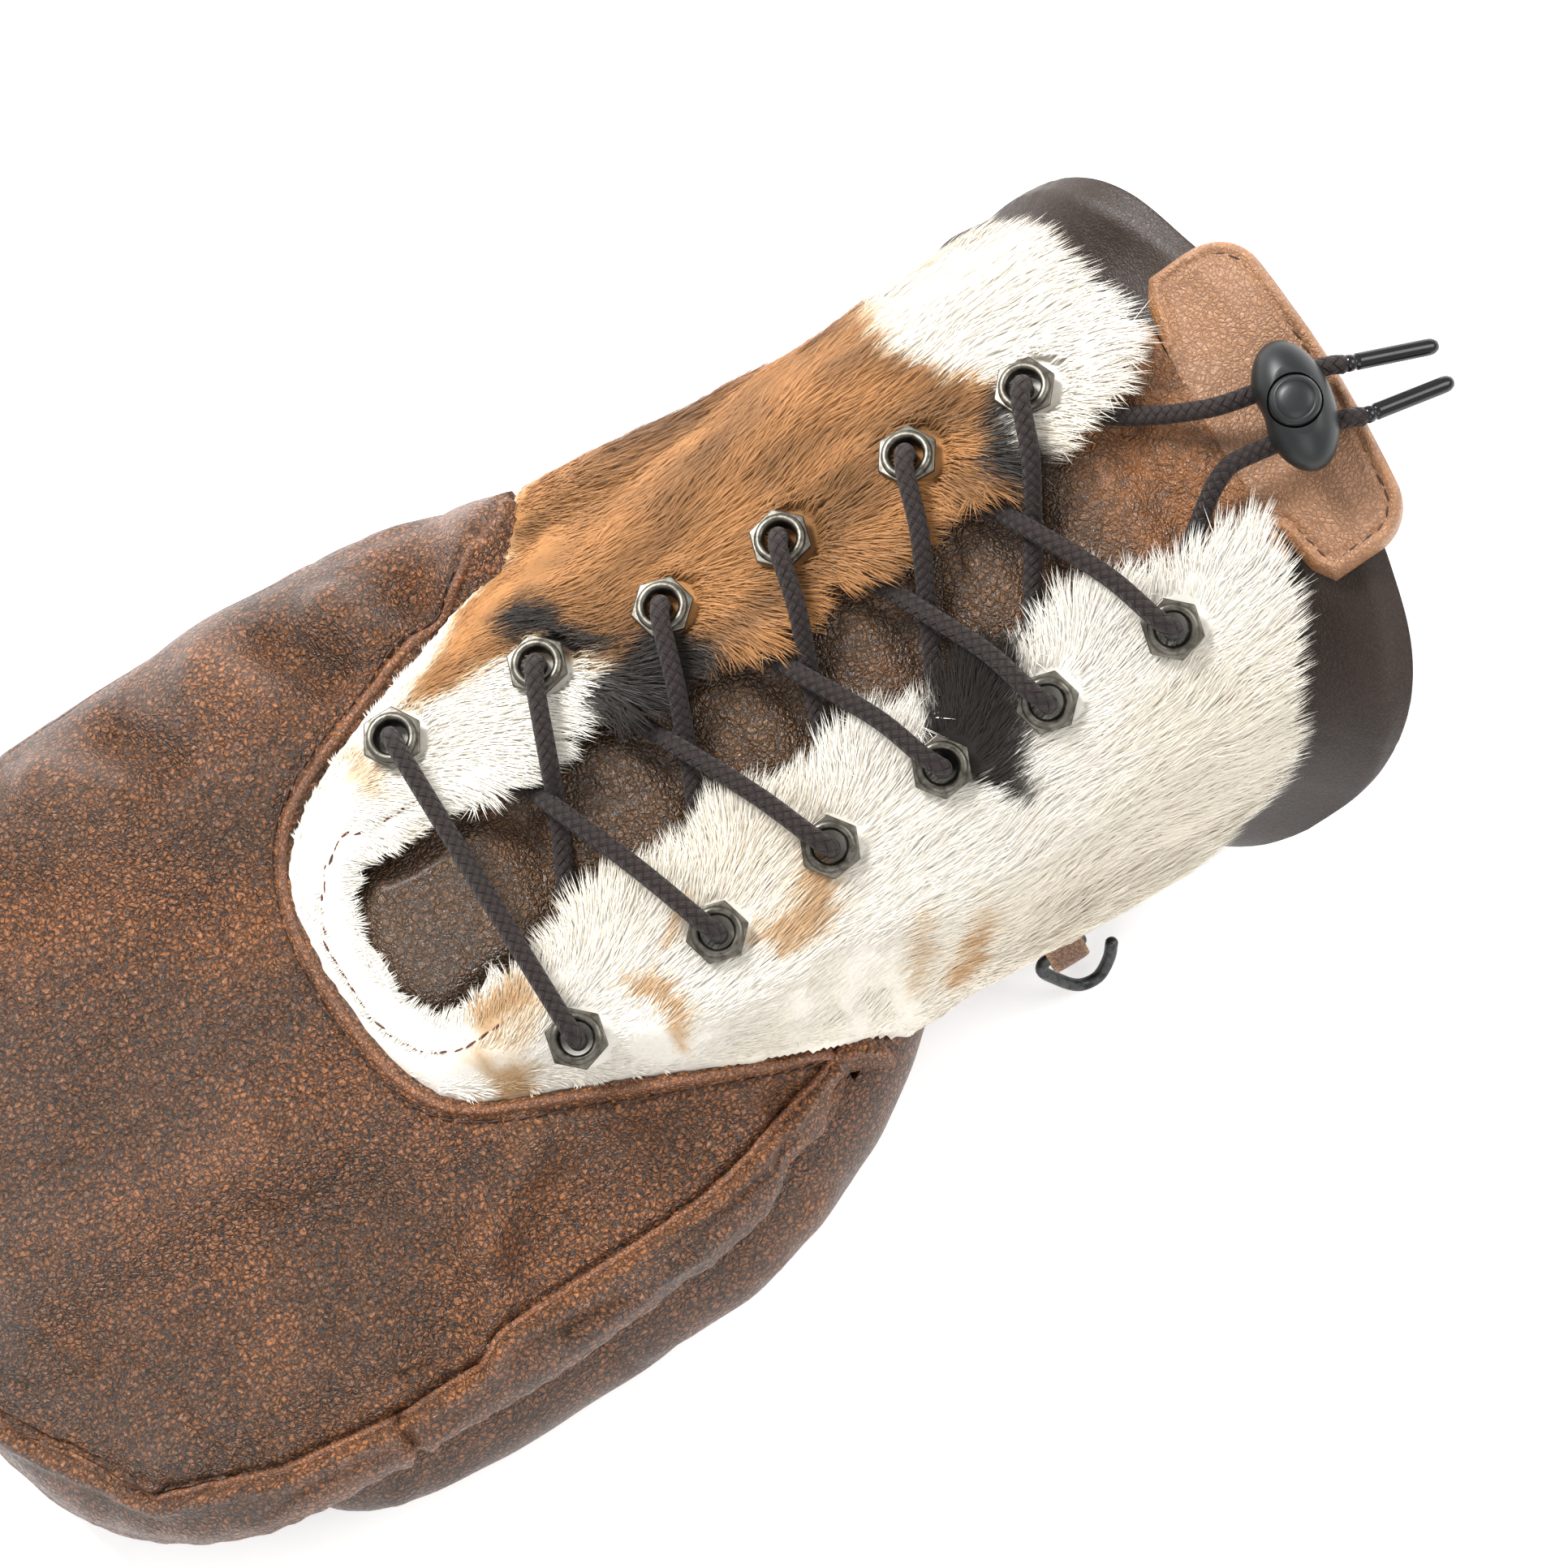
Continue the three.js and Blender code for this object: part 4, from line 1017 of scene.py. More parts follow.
    def build_thumb(self, looks: Looks) -> None:
        """Makes the thumb's tube, open where it meets the hand.

        Args:
            looks: the materials by name.
        """
        x = np.concatenate([[-88, -87.95, -87.6, -87.0, -86.3], np.linspace(-85.6, 44, 96)])
        t = np.linspace(0, 2 * math.pi, 85)
        x, t = np.meshgrid(x, t, indexing="ij")
        clamped = np.maximum(x, -85.6)
        beyond = np.clip((-85.6 - x) / 2.4, 0, 1)
        shrink = np.sqrt(1 - beyond ** 2)
        low, high = self.thumb_column(3, clamped), self.thumb_column(4, clamped)
        wide = self.thumb_column(2, clamped) + self.thumb_swell * (np.cos(t) < 0)
        across = power(np.cos(t), 2 / 2.3) * wide * shrink
        rise = power(np.sin(t), 2 / 2.3) * (high - low) / 2 * shrink
        point = np.stack([x, self.thumb_column(1, clamped) + across, (low + high) / 2 + rise], axis=-1)
        for _ in range(3):
            point[1:-1] = (point[:-2] + 2 * point[1:-1] + point[2:]) / 4
        along, around = np.gradient(point, axis=0), np.gradient(point, axis=1)
        outward = unit(np.cross(around, along))
        soft = lumps(point, 21, 31) * 0.9 + lumps(point, 9, 32) * 0.35
        crease = np.maximum(0, 1 - np.abs(lumps(point * np.array([1.0, 0.5, 0.5]), 12, 33)) * 8) * 0.5
        calm = smooth((x + 88) / 5) * smooth(point[..., 2] / 8)
        point = point + outward * ((soft - crease) * calm)[..., None]
        point[..., 2] = np.maximum(point[..., 2], 0.0)
        point[0] = point[0].mean(axis=0)
        middle = (point[1:, 1:] + point[:-1, :-1]) / 2
        worn = np.clip(0.5 * smooth((soft - 0.2) / 0.9), 0, 1)
        piece = lay_grid("thumb_leather", point, ~self.form.holds(middle, 0.9), {"worn": worn})
        self.thicken(piece, THUMB_LEATHER)
        hand_over(piece, looks["leather"], ("thumb",))


THUMB_ROWS = (
    (-85.6, -41, 8, 8, 23), (-81, -41.5, 15.5, 2.5, 28), (-72, -42, 20.5, 0, 31), (-52, -42, 22.5, 0, 32),
    (-28, -41.5, 22.5, 0, 32), (-6, -40.5, 22, 0, 32), (10, -38.5, 20, 0, 35), (24, -35, 17, 2, 38),
    (36, -31, 13, 9, 38), (44, -28, 9, 15, 36),
)


@dataclass
class Tongue:
    """The padded tongue under the lacing and the tab that ends it."""

    form: HandForm
    lines: SeamLines
    upper: tuple[tuple[float, float], ...] = (
        (-32.5, 9), (-27, 20), (-10, 23), (60, 22), (112, 22), (125.5, 25.5),
    )
    lower: tuple[tuple[float, float], ...] = (
        (-32.5, -2), (-27, -12), (-10, -14), (60, -13.5), (112, -15), (125.5, -17.5),
    )
    leather: float = 2.0
    tab_x: tuple[float, float] = (125.0, 146.0)
    tab_y: tuple[float, float] = (-23.8, 31.4)
    tab_corner: float = 8.0
    tab_bow: float = 1.6

    def tongue_points(self) -> tuple[np.ndarray, np.ndarray]:
        """The tongue's top surface in rows, and its wear."""
        x = np.linspace(-32.5, 125.5, 200)
        upper = np.interp(x, *np.array(self.upper).T)
        lower = np.interp(x, *np.array(self.lower).T)
        y = lower[:, None] + (upper - lower)[:, None] * np.linspace(0, 1, 48)
        x = np.repeat(x[:, None], 48, axis=1)
        base = self.form.above(x, y, GAP + self.leather)
        slit = self.lines.slit_line()
        plan = np.stack([x, y], axis=-1)
        away = nearest(plan, slit)[0]
        within = inside(plan, slit)
        open_part = within * smooth((away - 0.3) / 5)
        pairs = np.array([self.lines.eyelets_upper, self.lines.eyelets_lower])
        eyelets = pairs[..., 0].mean(axis=0) + 9
        squeeze = np.exp(-((x[..., None] - eyelets) / 4.6) ** 2).sum(axis=-1)
        flat = np.stack([x, y, np.zeros_like(x)], axis=-1)
        creased = np.maximum(0, 1 - np.abs(lumps(flat * np.array([1.0, 0.45, 1.0]), 11, 41)) * 5)
        puff = (2.8 - 4.2 * squeeze + 0.9 * lumps(flat, 12, 42) - 1.0 * creased) * open_part
        puff += 0.08 * lumps(flat, 3.2, 43)
        last = smooth((x - 112) / 11)
        puff = puff * (1 - last) + (1.0 + 0.4 * lumps(flat, 9, 51)) * last
        buried = smooth(np.where(within, 2.0 - away, 2.0 + away) / 4) * smooth((-8 - x) / 10)
        base[..., 2] += np.clip(puff, -2.0, 2.6) - 2.1 * buried
        worn = smooth((x - 96) / 20) * 0.9 + 0.25 * smooth(lumps(flat, 9, 44) - 0.1)
        worn += 0.45 * smooth((4 - away) / 4) * smooth((x - 20) / 30)
        return base, np.clip(worn, 0, 1)

    def tab_outline(self) -> np.ndarray:
        """The tab's closed outline in plan, in small steps, once round to the left."""
        (x0, x1), (y0, y1), corner = self.tab_x, self.tab_y, self.tab_corner
        turn = np.linspace(0, math.pi / 2, 9)
        low = np.stack([x1 - 1 - corner * (1 - np.sin(turn)), y0 + corner * (1 - np.cos(turn))], axis=1)
        high = np.stack([x1 - 1 - corner * (1 - np.cos(turn)), y1 - corner * (1 - np.sin(turn))], axis=1)
        bow = np.array([[x1 + self.tab_bow - 1, (y0 + y1) / 2]])
        outline = rounded(np.concatenate([[[x0, y0]], low, bow, high, [[x0, y1]]]), closed=True, times=2)
        return even(np.concatenate([outline, outline[:1]]), 0.6)

    def tab_points(self) -> tuple[np.ndarray, np.ndarray]:
        """The tab's top surface in rings from its edge to its middle, and its wear."""
        outline = self.tab_outline()
        middle = np.array([sum(self.tab_x) / 2, sum(self.tab_y) / 2])
        share = np.concatenate([np.linspace(0, 0.42, 24), np.linspace(0.42, 1, 14)[1:]])[:, None, None]
        plan = outline[None] * (1 - share) + middle * share
        flat = np.concatenate([plan, np.zeros((*plan.shape[:-1], 1))], axis=-1)
        away = nearest(plan, outline[outline[:, 0] > self.tab_x[0] + 0.8])[0]
        thick = TAB_LEATHER * np.sqrt(np.clip(1 - (1 - np.clip(away / 1.3, 0, 1)) ** 2, 0, 1))
        groove = 0.6 * bell(away, 2.4, 0.6) + 0.25 * smooth((away - 2.8) / 2)
        wave = 0.35 * lumps(flat, 9, 51) + 0.12 * lumps(flat, 3, 52)
        base = self.form.above(plan[..., 0], plan[..., 1], GAP + TAB_LEATHER)
        base[..., 2] += thick - TAB_LEATHER - groove + 0.3 * bell(away, 1.5, 0.9)
        base[..., 2] += wave * smooth(away / 2)
        worn = np.clip(0.9 * bell(away, 0, 1.8) + 0.3 * lumps(flat, 6, 53), 0, 1)
        return base, worn

    def build(self, looks: Looks) -> None:
        """Makes the tongue and its tab.

        Args:
            looks: the materials by name.
        """
        points, worn = self.tongue_points()
        tongue = lay_grid("padded_tongue", points, marks={"worn": worn}, turned=True)
        modify(tongue, "SOLIDIFY", thickness=self.leather * MM, offset=-1.0)
        bevel(tongue, 0.5 * MM, 2, 62)
        shade(tongue, 55)
        hand_over(tongue, looks["tongue"], ("tongue",))
        points, worn = self.tab_points()
        tab = lay_grid("tongue_end_tab", points, marks={"worn": worn})
        modify(tab, "SOLIDIFY", thickness=0.9 * MM, offset=-1.0)
        shade(tab, 60)
        hand_over(tab, looks["tab"], ("tongue_tab",))


# Fur


@dataclass(frozen=True)
class Patch:
    """A patch of the coat: its outline in the photograph and how far its edge is blurred."""

    corners: tuple[tuple[float, float], ...]
    blur: float = 1.6
    strength: float = 1.0

    def share(self, plan: np.ndarray) -> np.ndarray:
        """How much of the patch's colour is at each plan place."""
        outline = np.array([from_photo(*corner) for corner in self.corners])
        outline = even(rounded(np.concatenate([outline, outline[:1]]), closed=False, times=2), 0.8)
        away = nearest(plan, outline)[0]
        signed = np.where(inside(plan, outline), away, -away)
        return self.strength * smooth(0.5 + signed / (2 * self.blur))


@dataclass(frozen=True)
class Coat:
    """The calico colours of the fur."""

    cream: tuple[float, float, float] = (0.90, 0.86, 0.78)
    tan: tuple[float, float, float] = (0.37, 0.175, 0.062)
    black: tuple[float, float, float] = (0.024, 0.019, 0.016)
    tan_patches: tuple[Patch, ...] = (
        Patch((
            (490, 855), (530, 760), (600, 640), (660, 520), (1000, 350), (1070, 380), (1075, 455),
            (1180, 500), (1215, 560), (1262, 625), (1225, 655), (1100, 705), (1010, 790), (900, 850),
            (800, 850), (700, 800), (600, 815), (545, 850),
        ), 2.0),
        Patch(((578, 1262), (640, 1222), (668, 1235), (640, 1275), (590, 1295)), 1.8, 0.6),
        Patch(((570, 1305), (640, 1300), (655, 1335), (590, 1345)), 1.6, 0.55),
        Patch(((800, 1195), (812, 1140), (838, 1115), (840, 1150), (815, 1200)), 1.6, 0.5),
        Patch(((750, 1240), (800, 1245), (838, 1280), (825, 1298), (780, 1268)), 1.6, 0.6),
        Patch((
            (915, 1160), (960, 1135), (965, 1075), (985, 1058), (1005, 1090), (1000, 1145), (930, 1180),
        ), 1.8, 0.55),
        Patch(((1135, 1200), (1145, 1160), (1180, 1130), (1188, 1150), (1160, 1200)), 1.6, 0.6),
        Patch(((1098, 1120), (1112, 1120), (1110, 1210), (1095, 1210)), 1.4, 0.3),
        Patch(((430, 930), (480, 940), (470, 985), (440, 975)), 2.0, 0.3),
        Patch(((480, 1030), (530, 1020), (530, 1060), (490, 1060)), 2.0, 0.3),
    )
    black_patches: tuple[Patch, ...] = (
        Patch(((590, 775), (650, 735), (700, 775), (740, 775), (715, 815), (650, 800), (605, 805))),
        Patch((
            (700, 905), (715, 820), (760, 765), (840, 780), (880, 810), (935, 825), (915, 860), (800, 885),
            (740, 925),
        )),
        Patch(((1185, 520), (1230, 520), (1275, 580), (1300, 650), (1245, 640), (1205, 595))),
        Patch((
            (1120, 865), (1180, 800), (1217, 780), (1265, 810), (1280, 840), (1264, 905), (1252, 955),
            (1272, 1012), (1236, 1012), (1205, 972), (1172, 960), (1155, 910),
        ), 1.8),
    )

    def colour(self, plan: np.ndarray) -> np.ndarray:
        """The coat's colour at plan places, in linear light.

        Args:
            plan: places, x and y along the last axis.

        Returns:
            The colours.
        """
        flat = np.concatenate([plan, np.zeros((*plan.shape[:-1], 1))], axis=-1)
        drawn = flat * np.array([0.45, 1.0, 1.0])
        bend = np.stack([lumps(drawn, 7, 61), lumps(drawn, 7, 62)], axis=-1) * 3.2
        bend += np.stack([lumps(drawn, 1.6, 63), lumps(drawn, 1.6, 64)], axis=-1) * 1.3
        place = plan + bend
        tan = np.max([spot.share(place) for spot in self.tan_patches], axis=0)[..., None]
        black = np.max([spot.share(place) for spot in self.black_patches], axis=0)[..., None]
        warm = smooth((lumps(drawn, 14, 65) + 0.2) / 1.2)[..., None]
        cream = np.array(self.cream) * (1 - 0.10 * warm * np.array([0.3, 0.7, 1.4]))
        tone = np.array(self.tan) * (1 + 0.45 * lumps(drawn, 4, 66))[..., None]
        colour = cream * (tone / cream) ** tan
        return colour * (1 - black) + np.array(self.black) * black


@dataclass
class FurCollar:
    """The fur hide round the slit and the gauntlet: its pelt and its hair."""

    form: HandForm
    lines: SeamLines
    coat: Coat
    hem: float = 22.0
    before_mouth: float = 14.0
    rows: int = 88
    columns: int = 158
    cuff_rows: int = 50
    hairs: int = 140000
    hair_width: float = 0.18
    seed: int = 7

    def lift(self, point: np.ndarray) -> np.ndarray:
        """How far the hide stands off the leather over the lace and the tongue."""
        beside = smooth((43 - np.abs(point[..., 1] - 4)) / 11)
        from_seam = nearest(point[..., :2], self.lines.front_line())[0]
        raised = (PELT_LIFT - GAP) * beside * smooth((point[..., 0] + 38) / 22)
        return GAP + raised * smooth((from_seam + 0.5) / 9)

    def lay(self) -> dict[str, np.ndarray]:
        """The pelt's top surface and what grows on it, in rows and columns.

        Returns:
            Arrays by name: the places, the normals, the hair's way and length, the plan,
            how far the next eyelet is, the dents of the stitches, and the cells that are kept.
        """
        rows = np.linspace(-38.5, 60, self.rows)
        low = self.form.angle_of_height(rows, np.full_like(rows, self.hem), thumb_side=False)
        high = self.form.angle_of_height(rows, np.full_like(rows, self.hem), thumb_side=True)
        high = np.minimum(high, math.pi + 0.75)
        t = low[:, None] + (high - low)[:, None] * np.linspace(0, 1, self.columns)
        share = np.linspace(0, 1, self.cuff_rows + 1)[1:, None]
        end = self.form.mouth_x(t[-1], self.before_mouth)
        side = self.form.section(end, t[-1])[:, 1]
        end -= 5 * smooth((-20 - side) / 12) + 16 * smooth((-38 - side) / 9)
        x = np.concatenate([np.repeat(rows[:, None], self.columns, axis=1), 60 + (end[None] - 60) * share])
        t = np.concatenate([t, np.repeat(t[-1:], self.cuff_rows, axis=0)])
        plain = self.form.section(x, t)
        normal = self.form.normal(x, t)
        lift = self.lift(plain)
        plan = self.form.skin(x, t, lift + 2.4)[..., :2]
        slit_line, front_line = self.lines.slit_line(), self.lines.front_line()
        to_slit, slit_at = nearest(plan, slit_line)
        to_front, front_at = nearest(plan, front_line)
        in_slit = inside(plan, slit_line)
        behind = np.where(plan[..., 0] > self.lines.front_x(plan[..., 1]), to_front, -to_front)
        edge = np.where(in_slit | (behind < 0), 0, np.minimum(to_slit, to_front))
        eyelets = np.array(self.lines.eyelets_upper + self.lines.eyelets_lower, float)
        ways = plan[..., None, :] - eyelets
        reach = np.sqrt((ways ** 2).sum(-1))
        far = reach.min(-1)
        thick = 1.3 + 1.3 * smooth(to_front / 12) * smooth((plan[..., 0] + 30) / 20)
        thick *= 0.55 + 0.45 * smooth(edge / 2.4)
        puff = 0.5 * lumps(plain, 8, 71) + 0.2 * lumps(plain, 3.2, 72)
        puff += 0.9 * smooth((9 - to_slit) / 6) * smooth((far - 5) / 5) * smooth((plan[..., 0] + 12) / 14)
        puff -= 1.0 * bell(far, 0, 6.2)
        stitched = bell(to_slit, 5.2, 0.6) * smooth((24 - plan[..., 0]) / 30)
        puff -= 0.7 * stitched
        shift = np.where((to_slit < 0.8)[..., None], slit_line[slit_at] - plan, 0)
        top = self.form.skin(x, t, lift + thick + puff * smooth(edge / 1.5) - 1.6 * smooth(-behind / 1.0))
        top[..., :2] += shift
        along = unit(self.form.skin(x + 2, t, lift) - self.form.skin(x - 2, t, lift))
        flat = np.zeros((*to_slit.shape, 1))
        toward_slit = np.concatenate([unit(slit_line[slit_at] - plan), flat], axis=-1)
        toward_front = np.concatenate([unit(front_line[front_at] - plan), flat], axis=-1)
        closest = np.take_along_axis(ways, reach.argmin(-1)[..., None, None], -2)[..., 0, :]
        away = np.concatenate([unit(closest), flat], axis=-1)
        way = along * 0.9 + toward_slit * (2.0 * np.exp(-to_slit / 6))[..., None]
        edgewise = 1.2 * np.exp(-to_front / 1.6) + 0.4 * np.exp(-to_front / 9) * (plan[..., 0] < 0)
        way += toward_front * edgewise[..., None]
        way += away * (0.5 * bell(far, 4.5, 3) * (plan[..., 1] < 4))[..., None]
        way += np.cross(normal, along) * (lumps(plain, 17, 73) * 0.5)[..., None]
        way = unit(way - normal * (way * normal).sum(-1, keepdims=True))
        length = 2.3 + 2.9 * smooth((plan[..., 0] + 16) / 34) * smooth((to_front - 2) / 16)
        length += 0.9 * np.exp(-to_slit / 2.6) * smooth((plan[..., 0] + 26) / 16)
        length *= (1 - 0.35 * bell(far, 0, 7)) * (0.55 + 0.45 * smooth(to_front / 3))
        middle = (plan[1:, 1:] + plan[:-1, :-1]) / 2
        keep = ~inside(middle, slit_line) & ((behind[1:, 1:] + behind[:-1, :-1]) / 2 > -1.3)
        return {
            "top": top, "normal": normal, "way": way, "length": length, "plan": plan, "keep": keep,
            "far": far, "stitched": stitched, "behind": behind,
        }

    def build(self, looks: Looks) -> dict[str, np.ndarray]:
        """Makes the pelt and its hair.

        Args:
            looks: the materials by name.

        Returns:
            The pelt's arrays, for what is sewn on it.
        """
        laid = self.lay()
        # Painted shade: the pelt under the hair is a little darker than the coat.
        colour = self.coat.colour(laid["plan"]) * 0.94
        pelt = lay_grid("fur_pelt", laid["top"], laid["keep"], {"coat": colour})
        pick(pelt)
        bpy.context.tool_settings.mesh_select_mode = (True, False, False)
        bpy.ops.object.mode_set(mode="EDIT")
        bpy.ops.mesh.select_all(action="DESELECT")
        bpy.ops.mesh.select_non_manifold(extend=False)
        bpy.ops.mesh.vertices_smooth(factor=0.5, repeat=2)
        bpy.ops.object.mode_set(mode="OBJECT")
        modify(pelt, "SOLIDIFY", thickness=1.5 * MM, offset=-1.0)
        shade(pelt, 60)
        hand_over(pelt, looks["pelt"], ("fur_hide",))
        self.grow(laid, looks["hair"])
        return laid

    def grow(self, laid: dict[str, np.ndarray], look: bpy.types.Material) -> None:
        """Grows the hair on the pelt, as tapered bent blades in three pieces.

        Args:
            laid: the pelt's arrays.
            look: the hair's material.
        """
        rng = np.random.default_rng(self.seed)
        top = laid["top"]
        one, other = top[1:, :-1] - top[:-1, :-1], top[:-1, 1:] - top[:-1, :-1]
        area = np.linalg.norm(np.cross(one, other), axis=-1) * laid["keep"]
        chosen = rng.choice(area.size, self.hairs, p=area.ravel() / area.sum())
        row, column = np.divmod(chosen, area.shape[1])
        u, v = rng.random(self.hairs), rng.random(self.hairs)

        def at(name: str) -> np.ndarray:
            """One of the pelt's arrays at the hairs' roots."""
            values = laid[name]
            extra = (None,) * (values.ndim - 2)
            a, b = u[(slice(None), *extra)], v[(slice(None), *extra)]
            low = values[row, column] * (1 - b) + values[row, column + 1] * b
            high = values[row + 1, column] * (1 - b) + values[row + 1, column + 1] * b
            return low * (1 - a) + high * a

        root, normal, way = at("top"), unit(at("normal")), unit(at("way"))
        plan, length, far, stitched = at("plan"), at("length"), at("far"), at("stitched")
        clump = np.floor(root / 2.3 + rng.random(3)) * 2.3 + 1.15
        pull = (clump - root) * 0.5
        pull -= normal * (pull * normal).sum(1, keepdims=True)
        turn = rng.normal(0, 0.14, self.hairs) + lumps(root, 5, 81) * 0.28
        across = np.cross(normal, way)
        way = way * np.cos(turn)[:, None] + across * np.sin(turn)[:, None]
        length = length * rng.uniform(0.7, 1.25, self.hairs) * (1 - 0.6 * stitched)
        first = np.radians(rng.uniform(11, 28, self.hairs))[:, None]
        over = bell(far, 5.2, 1.4) * (plan[:, 1] > 4)
        first += (0.5 * over)[:, None]
        length += 0.7 * over
        second = (np.radians(rng.uniform(-4, 10, self.hairs)) - 0.5 * over)[:, None]
        reach = length[:, None]
        middle = root + reach * 0.48 * (way * np.cos(first) + normal * np.sin(first)) + pull * reach * 0.04
        tip = middle + reach * 0.52 * (way * np.cos(second) + normal * np.sin(second)) + pull * reach * 0.09
        tilt = rng.uniform(-0.45, 0.45, self.hairs)[:, None]
        wide = unit(np.cross(way, normal)) * np.cos(tilt) + normal * np.sin(tilt)
        wide = wide * self.hair_width * rng.uniform(0.7, 1.2, self.hairs)[:, None] / 2
        narrow = wide * 0.85
        corners = np.stack([root - wide, root + wide, middle + narrow, middle - narrow, tip], axis=1)
        colour = self.coat.colour(plan + rng.normal(0, 0.5, plan.shape))
        bright = rng.uniform(0.89, 1.09, self.hairs)[:, None]
        # Painted shade at each blade's root and painted light at its tip.
        root_shade_tip_light = np.array([0.95, 0.95, 1.0, 1.0, 1.07])
        shades = np.clip(colour[:, None] * bright[:, None] * root_shade_tip_light[None, :, None], 0, 0.97)
        bald = (far < 4.6) | (stitched > 0.55) | (corners[..., 2].min(axis=1) < 14) | (at("behind") < 0.15)
        front = (plan[:, 0] < 8) & ~bald
        upper = (plan[:, 1] > 4) & ~front & ~bald
        lower = (plan[:, 1] <= 4) & ~front & ~bald
        for name, part in (("fur_band_hair", front), ("fur_upper_hair", upper), ("fur_lower_hair", lower)):
            hand_over(self.blades(name, corners[part], shades[part]), look)

    def blades(self, name: str, corners: np.ndarray, shades: np.ndarray) -> bpy.types.Object:
        """One mesh of hair blades, five corners each.

        Args:
            name: the piece's name.
            corners: the blades' corners in millimetres.
            shades: the corners' colours.

        Returns:
            The piece.
        """
        count = len(corners)
        mesh = bpy.data.meshes.new(name)
        mesh.vertices.add(count * 5)
        mesh.vertices.foreach_set("co", to_metres(corners).astype(np.float32).ravel())
        mesh.loops.add(count * 7)
        first = np.arange(count)[:, None] * 5
        corner = first + np.array([0, 1, 2, 3, 3, 2, 4])
        mesh.loops.foreach_set("vertex_index", corner.astype(np.int32).ravel())
        mesh.polygons.add(count * 2)
        starts = np.arange(count)[:, None] * 7 + np.array([0, 4])
        mesh.polygons.foreach_set("loop_start", starts.astype(np.int32).ravel())
        mesh.update(calc_edges=True)
        mesh.validate()
        mesh.shade_smooth()
        piece = bpy.data.objects.new(name, mesh)
        bpy.context.collection.objects.link(piece)
        mark(piece, "coat", shades)
        return piece


# Lacing and hardware


